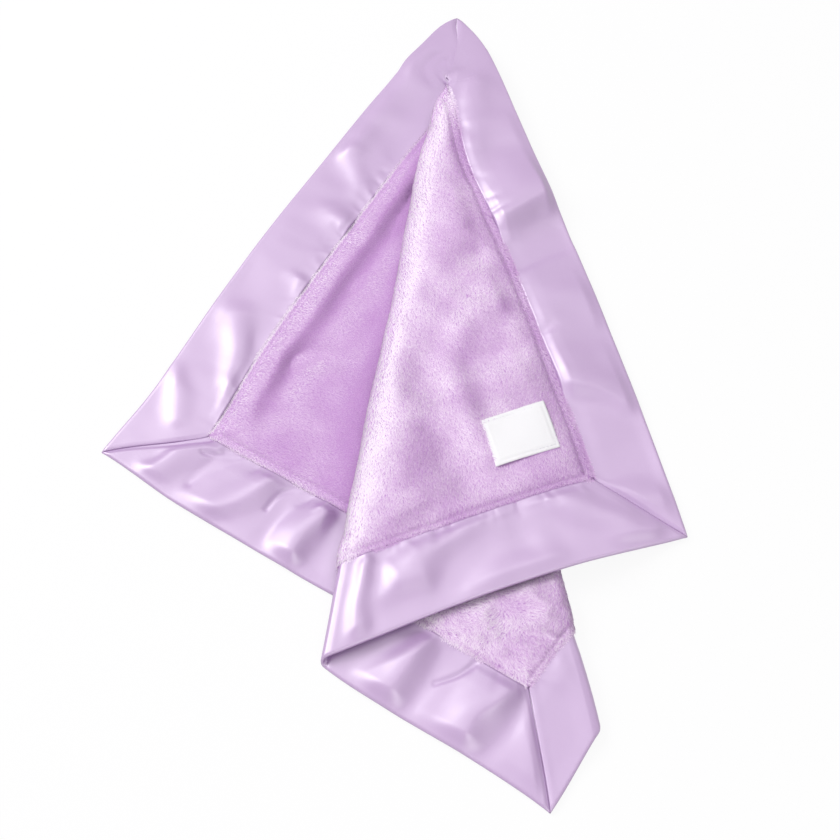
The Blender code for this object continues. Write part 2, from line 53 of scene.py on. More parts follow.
MM = 0.001
UP = np.array([0.0, 0.0, 1.0])
BAKE_MAP, CLOTH_MAP = "OFBake", "cloth"
# A sheet's bake map: its margin, where its upper face ends, and the step to its lower face.
MAP_MARGIN, MAP_HALF, MAP_STEP = 0.01, 0.48, 0.51
# How much of the layers' slope the shading leaves out, and how upright a normal on steep cloth is.
LEVELLED_SHARE, STEEP_BELOW, STEEP_EASE = 0.75, 0.80, 0.12
# The wave texture's scale for one band in each metre.
BAND_SCALE = 0.314


class Side(Enum):
    """The blanket's four sides, in order round the pattern."""

    UPPER_RIGHT = 0
    LOWER_RIGHT = 1
    LOWER_LEFT = 2
    UPPER_LEFT = 3


class Face(Enum):
    """The blanket's two faces, as the direction of their normals."""

    FRONT = 1
    BACK = -1


def eased_step(x: np.ndarray) -> np.ndarray:
    """Rises smoothly from 0 to 1 while x goes from 0 to 1."""
    x = np.clip(x, 0.0, 1.0)
    return x * x * (3.0 - 2.0 * x)


def eased_from(distance: np.ndarray, start: float, reach: float) -> np.ndarray:
    """Rises smoothly from 0 at a start to 1 a reach further on."""
    return eased_step((distance - start) / reach)


def from_share(share: float, step: np.ndarray) -> np.ndarray:
    """Goes from a share to 1 while a step goes from 0 to 1."""
    return share + (1.0 - share) * step


def bell(distance: np.ndarray, reach: float) -> np.ndarray:
    """Falls smoothly from 1 at no distance, to about a third at the reach."""
    return np.exp(-((distance / reach) ** 2))


def crossed(rows: np.ndarray, columns: np.ndarray) -> list[np.ndarray]:
    """Two grids, of the value down the rows and of the value along the columns."""
    return np.meshgrid(rows, columns, indexing="ij")


@dataclass(frozen=True)
class SmoothNoise:
    """Seeded noise between -1 and 1 that varies smoothly over the pattern."""

    seed: int
    cell: float
    table_size: int = 64

    def at(self, a: np.ndarray, b: np.ndarray) -> np.ndarray:
        """Noise at pattern points.

        Args:
            a, b: Pattern places, in metres.

        Returns:
            One value for each point.
        """
        table = np.random.default_rng(self.seed).uniform(-1.0, 1.0, (self.table_size, self.table_size))
        x, y = np.asarray(a) / self.cell, np.asarray(b) / self.cell
        i, j = np.floor(x).astype(int), np.floor(y).astype(int)
        u, v = eased_step(x - i), eased_step(y - j)
        i0, i1 = i % self.table_size, (i + 1) % self.table_size
        j0, j1 = j % self.table_size, (j + 1) % self.table_size
        low = table[i0, j0] * (1.0 - u) + table[i1, j0] * u
        high = table[i0, j1] * (1.0 - u) + table[i1, j1] * u
        return low * (1.0 - v) + high * v


@dataclass(frozen=True)
class Pattern:
    """The blanket's square, before it is folded."""

    side: float = 0.380
    border: float = 0.0455
    gathered_border: float = 0.0420

    @property
    def seam_end(self) -> float:
        """Where the plush ends along either axis."""
        return self.side - self.border

    def corners(self) -> np.ndarray:
        """The blanket's outer corners, counter-clockwise from the far one."""
        return np.array([(0.0, 0.0), (self.side, 0.0), (self.side, self.side), (0.0, self.side)])

    def seam_corners(self) -> np.ndarray:
        """The plush panel's corners, in the same order."""
        low_a, low_b, high = self.gathered_border, self.border, self.seam_end
        return np.array([(low_a, low_b), (high, low_b), (high, high), (low_a, high)])

    def outward(self, a: np.ndarray, b: np.ndarray) -> np.ndarray:
        """Pattern direction towards the nearest seam.

        Args:
            a, b: Pattern places, in metres.

        Returns:
            A unit vector for each point.
        """
        gaps = np.stack([a - self.gathered_border, self.seam_end - a, b - self.border, self.seam_end - b])
        ways = np.array([(-1.0, 0.0), (1.0, 0.0), (0.0, -1.0), (0.0, 1.0)])
        return ways[np.argmin(gaps, axis=0)]

    def seam_distance(self, a: np.ndarray, b: np.ndarray) -> np.ndarray:
        """Distance inside the seam between plush and satin.

        Args:
            a, b: Pattern places, in metres.

        Returns:
            Distances in metres, negative on the satin.
        """
        across = np.minimum(a - self.gathered_border, self.seam_end - a)
        along = np.minimum(b - self.border, self.seam_end - b)
        return np.minimum(across, along)


@dataclass(frozen=True)
class Shift:
    """A small shift of the laid cloth round one pattern place, in metres to the right and away."""

    place: tuple[float, float]
    right: float
    away: float
    reach: float


@dataclass(frozen=True)
class KnifePleat:
    """How the pattern is folded and laid: one pleat that opens from a point near the far corner."""

    pattern: Pattern
    point_a: float = 0.0203
    point_b: float = 0.0306
    first_fold: float = math.radians(28.95)
    second_fold: float = math.radians(48.55)
    fold_radius: float = 0.0034
    opening_length: float = 0.0315
    heading: float = math.radians(-70.4)
    slack_start: float = math.radians(120.4)
    slack_end: float = math.radians(91.8)
    near_shortening: float = 0.0070
    right_swing: float = math.radians(1.78)
    ease_radius: float = 0.3600
    turned_blend: float = math.radians(40.0)
    right_blend: float = math.radians(30.0)
    first_blend_share: float = 0.6
    right_limit_share: float = 1.3
    rest_height: float = 0.0023
    drape_past_fold: float = 0.0750
    drape_at_side: float = 0.0550
    drape_start_inside: float = 0.0300
    border_drop: float = 0.0015
    border_drop_ease: float = 0.0080
    origin_x: float = -0.02900
    origin_y: float = -0.22355
    slope_step: float = 0.00005
    least: float = 0.0000005

    @property
    def pleat_angle(self) -> float:
        """Angle between the two folds on the pattern."""
        return self.second_fold - self.first_fold

    def polar(self, a: np.ndarray, b: np.ndarray) -> tuple[np.ndarray, np.ndarray]:
        """Distance and angle of pattern points about the pleat's point."""
        along_a, along_b = np.asarray(a) - self.point_a, np.asarray(b) - self.point_b
        return np.hypot(along_a, along_b), np.arctan2(along_b, along_a)

    def eased_polar(self, a: np.ndarray, b: np.ndarray) -> tuple[np.ndarray, np.ndarray]:
        """Polar place of pattern points after the cloth's small shifts in its own plane.

        Args:
            a, b: Pattern places, in metres.

        Returns:
            Distances in metres and angles in radians.
        """
        radius, angle = self.polar(a, b)
        far = (radius / self.ease_radius) ** 2
        rise = eased_step((angle - self.first_fold) / (self.first_blend_share * self.pleat_angle))
        fall = 1.0 - eased_step((angle - self.second_fold) / self.turned_blend)
        swing = np.clip((self.first_fold - angle) / self.right_blend, 0.0, self.right_limit_share)
        return radius - self.near_shortening * far * rise * fall, angle + self.right_swing * far * swing

    def past_lower_left(self, x: np.ndarray, y: np.ndarray) -> np.ndarray:
        """How far laid places lie past the lower layer's own edge.

        Args:
            x, y: Laid coordinates about the pleat's point, in metres.

        Returns:
            Distances in metres.
        """
        ends = []
        for a in (0.0, self.pattern.side):
            radius, angle = self.polar(a, self.pattern.side)
            heading = self.heading - (angle - 2.0 * self.pleat_angle)
            ends.append((radius * math.cos(heading), radius * math.sin(heading)))
        (x0, y0), (x1, y1) = ends
        return ((x - x0) * (y1 - y0) - (y - y0) * (x1 - x0)) / math.hypot(x1 - x0, y1 - y0)

    def first_fold_place(self, distance: float) -> tuple[float, float]:
        """Pattern place on the first fold at a distance from the pleat's point."""
        a = self.point_a + distance * math.cos(self.first_fold)
        return a, self.point_b + distance * math.sin(self.first_fold)

    def shifts(self) -> list[Shift]:
        """How the laid cloth settles round its corners, its sides and the pleat's start.

        Returns:
            The shifts, each about its own pattern place.
        """
        pattern = self.pattern
        side, low_a, low_b, high = pattern.side, pattern.gathered_border, pattern.border, pattern.seam_end
        fold_end = self.point_a + (side - self.point_b) / math.tan(self.second_fold)
        return [
            Shift((low_a, low_b), 0.0092, 0.0011, 0.0270),
            Shift((low_a + 0.0330, low_b), 0.0042, 0.0039, 0.0270),
            Shift((0.0, side), 0.0018, 0.0066, 0.0450),
            Shift((low_a, high), 0.0040, -0.0026, 0.0450),
            Shift((low_b / 2.0, 0.55 * side), -0.0019, 0.0040, 0.0800),
            Shift((side, side), 0.0045, -0.0011, 0.0450),
            Shift((side - low_b / 2.0, 0.84 * side), -0.0016, -0.0018, 0.0450),
            Shift((fold_end, side), 0.0008, 0.0061, 0.0450),
            Shift((0.22 * side, side), 0.0020, 0.0012, 0.0450),
            Shift((0.0, 0.0340), 0.0021, -0.0014, 0.0155),
            Shift(self.first_fold_place(0.1900), 0.0041, 0.0002, 0.0650),
            Shift(self.first_fold_place(0.0455), -0.0017, 0.0013, 0.0155),
            Shift((0.0, 0.0), 0.0011, 0.0022, 0.0270),
            Shift((high, high), 0.0028, 0.0038, 0.0450),
        ]

    def settle(self, x: np.ndarray, y: np.ndarray) -> tuple[np.ndarray, np.ndarray]:
        """Moves laid places by the small shifts.

        Args:
            x, y: Laid coordinates about the pleat's point, in metres.

        Returns:
            The moved coordinates.
        """
        right, away = np.zeros_like(x), np.zeros_like(y)
        for shift in self.shifts():
            flat = self.fold(np.array(shift.place[0]), np.array(shift.place[1]))
            near = np.exp(-((x - flat["x"]) ** 2 + (y - flat["y"]) ** 2) / shift.reach**2)
            right, away = right + shift.right * near, away + shift.away * near
        return x + right, y + away

    def lay(self, a: np.ndarray, b: np.ndarray) -> dict[str, np.ndarray]:
        """Lays pattern points in their place on the finished blanket.

        Args:
            a, b: Pattern places, in metres.

        Returns:
            The places of the middle surface, each point's layer (0 front, 1 middle, 2 lower), how far
            it lies clear of what covers it, and its run from the first fold.
        """
        folded = self.fold(a, b)
        x, y = self.settle(folded["x"], folded["y"])
        places = np.stack([x - self.origin_x, y - self.origin_y, folded["z"]], axis=-1)
        return {"places": places, **{key: folded[key] for key in ("layer", "clear", "run")}}

    def fold(self, a: np.ndarray, b: np.ndarray) -> dict[str, np.ndarray]:
        """Folds pattern points about the pleat's point.

        Args:
            a, b: Pattern places, in metres.

        Returns:
            Laid coordinates, and each point's layer, clearance and run as lay gives them.
        """
        a, b = np.asarray(a, dtype=float), np.asarray(b, dtype=float)
        middle_angle = (self.first_fold + self.second_fold) / 2.0
        radius, angle = self.eased_polar(a, b)
        radius = np.maximum(radius, self.least)
        angle = (angle - middle_angle + math.pi) % (2.0 * math.pi) - math.pi + middle_angle

        turn = math.pi * eased_step(radius / self.opening_length)
        bend = np.minimum(self.fold_radius, radius * self.pleat_angle / np.maximum(turn, self.least))
        straight = np.maximum(radius * self.pleat_angle - bend * turn, 0.0)
        step = bend * (1.0 - np.cos(turn))
        top = 2.0 * step + straight * np.sin(turn)

        run = radius * (angle - self.first_fold)
        start_1, end_1 = -bend * turn / 2.0, bend * turn / 2.0
        start_2 = end_1 + straight
        end_2 = start_2 + bend * turn
        place_1, height_1 = start_1 + bend * np.sin(turn), top - step
        place_2 = place_1 + straight * np.cos(turn)
        height_2 = height_1 - straight * np.sin(turn)
        place_3 = place_2 + bend * np.sin(turn)
        turned_1, turned_2 = (run - start_1) / bend, (run - start_2) / bend
        stretches = [run < start_1, run < end_1, run < start_2, run < end_2]
        place = np.select(
            stretches,
            [
                run,
                start_1 + bend * np.sin(turned_1),
                place_1 + (run - end_1) * np.cos(turn),
                place_2 + bend * (np.sin(turn) - np.sin(turn - turned_2)),
            ],
            place_3 + run - end_2,
        )
        height = np.select(
            stretches,
            [
                top,
                top - bend * (1.0 - np.cos(turned_1)),
                height_1 - (run - end_1) * np.sin(turn),
                height_2 - bend * (np.cos(turn - turned_2) - np.cos(turn)),
            ],
            0.0,
        )
        layer = np.where(run < 0.0, 0, np.where(run < radius * self.pleat_angle, 1, 2))
        laid_angle = self.first_fold + place / radius

        slack_start = middle_angle + self.slack_start
        slack_end = middle_angle + 2.0 * math.pi - self.slack_end
        full_angle = np.where(angle < middle_angle, angle + 2.0 * math.pi, angle)
        behind = (full_angle > slack_start) & (full_angle < slack_end)
        spread = eased_step((full_angle - slack_start) / (slack_end - slack_start))
        turned_away = (place_3 - end_2) / radius
        laid_angle = np.where(behind, full_angle + turned_away * (1.0 - spread), laid_angle)
        heading = self.heading - laid_angle
        x, y = radius * np.cos(heading), radius * np.sin(heading)

        front_angle = np.where(behind, laid_angle - 2.0 * math.pi, laid_angle)
        past_fold = radius * (self.first_fold - self.pleat_angle - front_angle) - self.fold_radius
        on_middle = 1.0 - eased_step(past_fold / self.drape_past_fold)
        past_start = self.past_lower_left(x, y) + self.drape_start_inside
        on_lower = 1.0 - eased_step(past_start / self.drape_at_side)
        front_height = step * on_middle * (1.0 + on_lower)
        lifted = np.clip(height / np.maximum(step, self.least), 0.0, 1.0)
        middle_height = height - step * (1.0 - on_lower) * lifted
        laid = np.where(stretches[0], front_height, middle_height)
        laid = np.where(behind, spread * front_height, laid)

        inside = self.pattern.seam_distance(a, b)
        drop = self.border_drop * eased_step((self.border_drop_ease - inside) / (2.0 * self.border_drop_ease))
        z = self.rest_height + laid - drop

        under_front = self.point_a + radius * np.cos(2.0 * self.first_fold - angle)
        clear_middle = under_front - self.pattern.side
        clear_lower = radius * (angle - self.second_fold - self.pleat_angle)
        clear = np.where(layer == 0, self.pattern.side, np.where(layer == 1, clear_middle, clear_lower))
        clear = np.where(behind, self.pattern.side, clear)
        layer = np.where(behind, 0, layer)
        return {"x": x, "y": y, "z": z, "layer": layer, "clear": clear, "run": run}

    def places(self, a: np.ndarray, b: np.ndarray) -> np.ndarray:
        """Places of the middle surface at pattern points."""
        return self.lay(a, b)["places"]

    def frames(self, a: np.ndarray, b: np.ndarray) -> tuple[np.ndarray, np.ndarray, np.ndarray]:
        """Directions on the laid cloth at pattern points.

        Args:
            a, b: Pattern places, in metres.

        Returns:
            Unit vectors along a, along b and along the front face's normal.
        """
        step = self.slope_step
        along_a = unit(self.places(a + step, b) - self.places(a - step, b))
        along_b = unit(self.places(a, b + step) - self.places(a, b - step))
        return along_a, along_b, unit(np.cross(along_b, along_a))

    def normals(self, a: np.ndarray, b: np.ndarray) -> np.ndarray:
        """Unit normals of the middle surface on the side of the front face."""
        return self.frames(a, b)[2]

    def second_run(self, a: np.ndarray, b: np.ndarray) -> np.ndarray:
        """Where the second fold lies, as a run from the first fold at each point's distance."""
        return self.eased_polar(a, b)[0] * self.pleat_angle


def unit(vectors: np.ndarray) -> np.ndarray:
    """Vectors scaled to length 1."""
    return vectors / np.maximum(np.linalg.norm(vectors, axis=-1, keepdims=True), 1e-12)


def levelled(normals: np.ndarray, base: np.ndarray, share: float | np.ndarray = LEVELLED_SHARE) -> np.ndarray:
    """Shading normals with most of the laid layers' slow slope taken out.

    Args:
        normals: The surface's own normals.
        base: The middle surface's normals at the same places, on the same side.
        share: How much of the slope goes; none goes on the folds themselves.

    Returns:
        Unit normals.
    """
    up = np.where(base[..., 2:] < 0.0, -1.0, 1.0) * UP
    gentle = eased_from(np.abs(base[..., 2:]), STEEP_BELOW, STEEP_EASE)
    return unit(normals + share * gentle * (up - base))


def closed_sheet(top: np.ndarray, bottom: np.ndarray) -> tuple[np.ndarray, np.ndarray]:
    """Makes one closed sheet between two grids of places.

    Args:
        top: Places of the upper face, in rows and columns.
        bottom: Places of the lower face, in as many.

    Returns:
        The sheet's vertices and its four-sided faces.
    """
    rows, columns = top.shape[:2]
    count = rows * columns
    number = np.arange(count).reshape(rows, columns)
    low, right = number[:-1, :-1].ravel(), number[1:, :-1].ravel()
    far, up = number[1:, 1:].ravel(), number[:-1, 1:].ravel()
    faces = [np.stack([up, far, right, low], axis=-1), np.stack([low, right, far, up], axis=-1) + count]
    for rim in (number[:, 0], number[-1, :], number[::-1, -1], number[0, ::-1]):
        start, end = rim[:-1], rim[1:]
        faces.append(np.stack([start, end, end + count, start + count], axis=-1))
    return np.concatenate([top.reshape(-1, 3), bottom.reshape(-1, 3)]), np.concatenate(faces)


def make_piece(name: str, vertices: np.ndarray, faces: np.ndarray) -> bpy.types.Object:
    """Makes one smooth mesh object that rides on the blanket.

    Args:
        name: The piece's name.
        vertices: Its places, in metres in the row frame.
        faces: Corner numbers, the same count for each face.

    Returns:
        The new object.
    """
    faces = np.asarray(faces)
    mesh = bpy.data.meshes.new(name)
    mesh.vertices.add(len(vertices))
    mesh.vertices.foreach_set("co", np.asarray(vertices, dtype=np.float32).ravel())
    mesh.loops.add(faces.size)
    mesh.loops.foreach_set("vertex_index", faces.astype(np.int32).ravel())
    mesh.polygons.add(len(faces))
    mesh.polygons.foreach_set("loop_start", np.arange(0, faces.size, faces.shape[1], dtype=np.int32))
    mesh.update(calc_edges=True)
    mesh.validate()
    mesh.shade_smooth()
    obj = bpy.data.objects.new(name, mesh)
    bpy.context.collection.objects.link(obj)
    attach(obj, "root")
    return obj


def add_uv(obj: bpy.types.Object, name: str, uv: np.ndarray) -> None:
    """Gives a mesh a UV map.

    Args:
        obj: The mesh object.
        name: The map's name.
        uv: One pair of values for each vertex.
    """
    mesh = obj.data
    loops = np.zeros(len(mesh.loops), dtype=np.int32)
    mesh.loops.foreach_get("vertex_index", loops)
    layer = mesh.uv_layers.new(name=name)
    layer.data.foreach_set("uv", uv[loops].astype(np.float32).ravel())


def sheet_uv(rows: int, columns: int) -> np.ndarray:
    """Bake map of a closed sheet: its upper face in one half of the square, its lower in the other.

    Args:
        rows, columns: Counts of the sheet's grid.

    Returns:
        One pair of values for each vertex.
    """
    across = np.linspace(MAP_MARGIN, 1.0 - MAP_MARGIN, rows)
    u, v = crossed(across, np.linspace(MAP_MARGIN, MAP_HALF, columns))
    upper = np.stack([u, v], axis=-1).reshape(-1, 2)
    return np.concatenate([upper, upper + np.array([0.0, MAP_STEP])])


def dress(obj: bpy.types.Object, material: bpy.types.Material) -> bpy.types.Object:
    """Gives a piece its material.

    Args:
        obj: The piece.
        material: Its material.

    Returns:
        The piece.
    """
    obj.data.materials.append(material)
    return obj


class Nodes:
    """A small helper that builds the node tree of a material or a world."""

    def __init__(self, owner: bpy.types.Material | bpy.types.World) -> None:
        """Turns on the owner's nodes."""
        owner.use_nodes = True
        self.owner, self.tree = owner, owner.node_tree

    def add(self, kind: str, inputs: dict | None = None, **settings: object) -> bpy.types.Node:
        """Adds a node, sets its properties and fills or links its inputs.

        Args:
            kind: The node's type, without its ShaderNode prefix.
            inputs: Values or output sockets, by the name or number of the input.
            **settings: Properties of the node.

        Returns:
            The new node.
        """
        node = self.tree.nodes.new("ShaderNode" + kind)
        for key, value in settings.items():
            setattr(node, key, value)
        for key, value in (inputs or {}).items():
            self.put(node.inputs[key], value)
        return node

    def put(self, socket: bpy.types.NodeSocket, value: object) -> None:
        """Fills an input.

        Args:
            socket: The input.
            value: Its value, or the output to link to it.
        """
        if isinstance(value, bpy.types.NodeSocket):
            self.tree.links.new(value, socket)
        else:
            socket.default_value = value

    def set(self, **values: object) -> None:
        """Sets or links the shader's inputs, named with underscores for spaces."""
        for key, value in values.items():
            self.put(self.tree.nodes["Principled BSDF"].inputs[key.replace("_", " ")], value)

    def maths(self, operation: str, *values: object) -> bpy.types.NodeSocket:
        """The result of one sum."""
        return self.add("Math", dict(enumerate(values)), operation=operation).outputs[0]

    def place(self) -> bpy.types.NodeSocket:
        """The shaded point's place on its object."""
        return self.add("TexCoord").outputs["Object"]

    def mapped(self, name: str) -> bpy.types.NodeSocket:
        """The shaded point's place on a UV map."""
        return self.add("UVMap", uv_map=name).outputs[0]

    def noise(self, place: bpy.types.NodeSocket, scale: float, detail: float) -> bpy.types.NodeSocket:
        """Noise at a place."""
        return self.add("TexNoise", {"Vector": place, "Scale": scale, "Detail": detail}).outputs[0]

    def bands(
        self, place: bpy.types.NodeSocket, pitch: float, distortion: float, way: str = "DIAGONAL"
    ) -> bpy.types.NodeSocket:
        """Light and dark bands at a pitch in metres."""
        inputs = {"Vector": place, "Scale": BAND_SCALE / pitch, "Distortion": distortion}
        return self.add("TexWave", inputs, wave_type="BANDS", bands_direction=way).outputs["Fac"]

    def ramp(self, factor: bpy.types.NodeSocket, stops: list[tuple[float, tuple]]) -> bpy.types.NodeSocket:
        """Makes a colour ramp.

        Args:
            factor: What the ramp follows, from 0 to 1.
            stops: The place and colour of each stop.

        Returns:
            The colour.
        """
        node = self.add("ValToRGB", {0: factor})
        elements = node.color_ramp.elements
        while len(elements) < len(stops):
            elements.new(0.5)
        for element, (place, colour) in zip(elements, stops):
            element.position = place
            element.color = (*colour, 1.0)
        return node.outputs[0]

    def bump(self, height: bpy.types.NodeSocket, distance: float, strength: float) -> bpy.types.NodeSocket:
        """A bump normal from a height."""
        return self.add("Bump", {"Height": height, "Distance": distance, "Strength": strength}).outputs[0]

    def shown(self) -> bpy.types.NodeSocket:
        """Tells what the camera sees, directly, mirrored or through something, from other light.

        Returns:
            1 where it is seen and 0 elsewhere.
        """
        path = self.add("LightPath").outputs
        mirrored = self.maths("MAXIMUM", path["Is Glossy Ray"], path["Is Transmission Ray"])
        return self.maths("MAXIMUM", path["Is Camera Ray"], mirrored)


def material_nodes(name: str) -> Nodes:
    """The nodes of a new material."""
    return Nodes(bpy.data.materials.new(name))


@dataclass(frozen=True)
class PileFinish:
    """Soft plush pile: each strand is darker at its root, which is painted shade deep in the pile since the
    strands throw no shadow, and paler at its tip.
    """

    name: str
    root: tuple = (0.53, 0.27, 0.60)
    body: tuple = (0.69, 0.50, 0.73)
    tip: tuple = (0.93, 0.87, 0.93)
    tint: tuple = (1.0, 0.94, 1.0, 1.0)
    sheen: float = 0.3
    spread: float = 0.8
    rise: float = 0.8
    least: float = 0.1

    def make(self) -> bpy.types.Material:
        """Builds the material from the strand's own map: shade across, root to tip upwards.

        Returns:
            The material.
        """
        nodes = material_nodes(self.name)
        strand = nodes.add("SeparateXYZ", {0: nodes.mapped(BAKE_MAP)}).outputs
        shade = nodes.maths("MULTIPLY_ADD", strand[0], self.spread, self.least - self.spread / 2.0)
        level = nodes.maths("MULTIPLY_ADD", strand[1], self.rise, shade)
        colour = nodes.ramp(level, [(0.0, self.root), (0.5, self.body), (1.0, self.tip)])
        nodes.set(Base_Color=colour, Roughness=0.9, Specular_IOR_Level=0.1)
        nodes.set(Sheen_Weight=self.sheen, Sheen_Roughness=0.3, Sheen_Tint=self.tint)
        return nodes.owner


@dataclass(frozen=True)
class GroundFinish:
    """The plush's knitted ground, seen between the strands, drawn darker than the pile as painted shade
    between strands that throw no shadow; its grain and patches vary at random.
    """

    name: str
    dark: tuple = (0.52, 0.29, 0.60)
    light: tuple = (0.62, 0.39, 0.68)
    grain_scale: float = 900.0
    patch_scale: float = 60.0

    def make(self) -> bpy.types.Material:
        """Builds the material from two sizes of noise.

        Returns:
            The material.
        """
        nodes = material_nodes(self.name)
        place = nodes.place()
        grain = nodes.noise(place, self.grain_scale, 3.0)
        patch = nodes.noise(place, self.patch_scale, 2.0)
        level = nodes.maths("MULTIPLY_ADD", grain, patch, 0.1)
        colour = nodes.ramp(level, [(0.15, self.dark), (0.6, self.light)])
        nodes.set(Base_Color=colour, Roughness=0.95, Sheen_Weight=0.4, Sheen_Roughness=0.5)
        nodes.set(Normal=nodes.bump(grain, 0.0006, 0.7))
        return nodes.owner


@dataclass(frozen=True)
class SatinFinish:
    """Glossy satin weave with faint slubs and a broad soft shine."""

    name: str
    shade: tuple = (0.405, 0.242, 0.480)
    light: tuple = (0.445, 0.275, 0.520)
    gloss: float = 2.75
    roughness_low: float = 0.42
    roughness_high: float = 0.50
    thread_pitch: float = 0.0005
    streak_scale: float = 90.0
    streak_stretch: float = 9.0
    drift_scale: float = 18.0

    def make(self) -> bpy.types.Material:
        """Builds the material: fine threads, long faint streaks and a slow drift of the colour.

        Returns:
            The material.
        """
        nodes = material_nodes(self.name)
        cloth = nodes.mapped(CLOTH_MAP)
        drawn = nodes.add("Mapping", {"Vector": cloth, "Scale": (self.streak_stretch, 1.0, 1.0)}).outputs[0]
        streak = nodes.noise(drawn, self.streak_scale, 2.0)
        drift = nodes.noise(nodes.place(), self.drift_scale, 1.0)
        rough = nodes.add("MapRange", {0: streak, 3: self.roughness_low, 4: self.roughness_high}).outputs[0]
        fine = nodes.bump(nodes.bands(cloth, self.thread_pitch, 0.6), 0.00002, 0.3)
        colour = nodes.ramp(drift, [(0.3, self.shade), (0.7, self.light)])
        nodes.set(Base_Color=colour, Roughness=rough, IOR=self.gloss, Normal=fine)
        return nodes.owner


@dataclass(frozen=True)
class ThreadFinish:
    """Spun sewing thread."""

    name: str
    colour: tuple = (0.74, 0.44, 0.83)
    paler: tuple = (0.86, 0.62, 0.92)
    twist_pitch: float = 0.0007

    def make(self) -> bpy.types.Material:
        """Builds the material with the thread's twist as bands.

        Returns:
            The material.
        """
        nodes = material_nodes(self.name)
        twist = nodes.bands(nodes.place(), self.twist_pitch, 1.0)
        nodes.set(Base_Color=nodes.ramp(twist, [(0.2, self.colour), (0.9, self.paler)]), Roughness=0.6)
        nodes.set(Normal=nodes.bump(twist, 0.0001, 0.5))
        return nodes.owner


@dataclass(frozen=True)
class LabelFinish:
    """White woven ribbon with fine ribs."""

    name: str = "woven_label"
    thread: tuple = (0.92, 0.915, 0.925)
    gap: tuple = (0.86, 0.85, 0.88)
    warp_pitch: float = 0.00055
    weft_pitch: float = 0.00042

    def make(self) -> bpy.types.Material:
        """Builds the material from crossed ribs.

        Returns:
            The material.
        """
        nodes = material_nodes(self.name)
        cloth = nodes.mapped(CLOTH_MAP)
        pitches = {"X": self.warp_pitch, "Y": self.weft_pitch}
        ribs = [nodes.bands(cloth, pitch, 0.3, way) for way, pitch in pitches.items()]
        both = nodes.maths("MULTIPLY", *ribs)
        nodes.set(Base_Color=nodes.ramp(both, [(0.0, self.gap), (0.35, self.thread)]), Roughness=0.5)
        nodes.set(Sheen_Weight=0.2, Normal=nodes.bump(both, 0.00005, 0.4))
        return nodes.owner


@dataclass(frozen=True)
class Ridge:
    """One ridge of the satin, or a crease if it falls.

    Places are in millimetres, along the side from its first corner and in from the outer edge. Widths
    and rises are in millimetres too, at the start and at the end. A lean over 0 makes the side that
    faces the next corner wider, and a bend bows the ridge towards that corner.
    """

    start: tuple[float, float]
    end: tuple[float, float]
    rise: tuple[float, float]
    width: tuple[float, float]
    lean: float = 0.0
    bend: float = 0.0

    def height(self, along: np.ndarray, into: np.ndarray) -> np.ndarray:
        """Height that the ridge adds.

        Args:
            along: Places along the side, in metres.
            into: Distances in from the outer edge, in metres.

        Returns:
            Heights in metres.
        """
        start, end = np.array(self.start), np.array(self.end)
        length = np.linalg.norm(end - start)
        way = (end - start) / length
        x, y = along / MM - start[0], into / MM - start[1]
        run = x * way[0] + y * way[1]
        share = np.clip(run / length, 0.0, 1.0)
        across = np.array([way[1], -way[0]]) * (1.0 if way[1] >= 0.0 else -1.0)
        side = x * across[0] + y * across[1] - self.bend * 4.0 * share * (1.0 - share)
        width = self.width[0] + (self.width[1] - self.width[0]) * share
        rise = self.rise[0] + (self.rise[1] - self.rise[0]) * share
        slack = np.where(side > 0.0, 1.0 + self.lean, 1.0 - self.lean)
        past = np.maximum(np.maximum(-run, run - length), 0.0)
        return rise * MM * np.exp(-((side / (width * slack)) ** 2) - (past / width) ** 2)


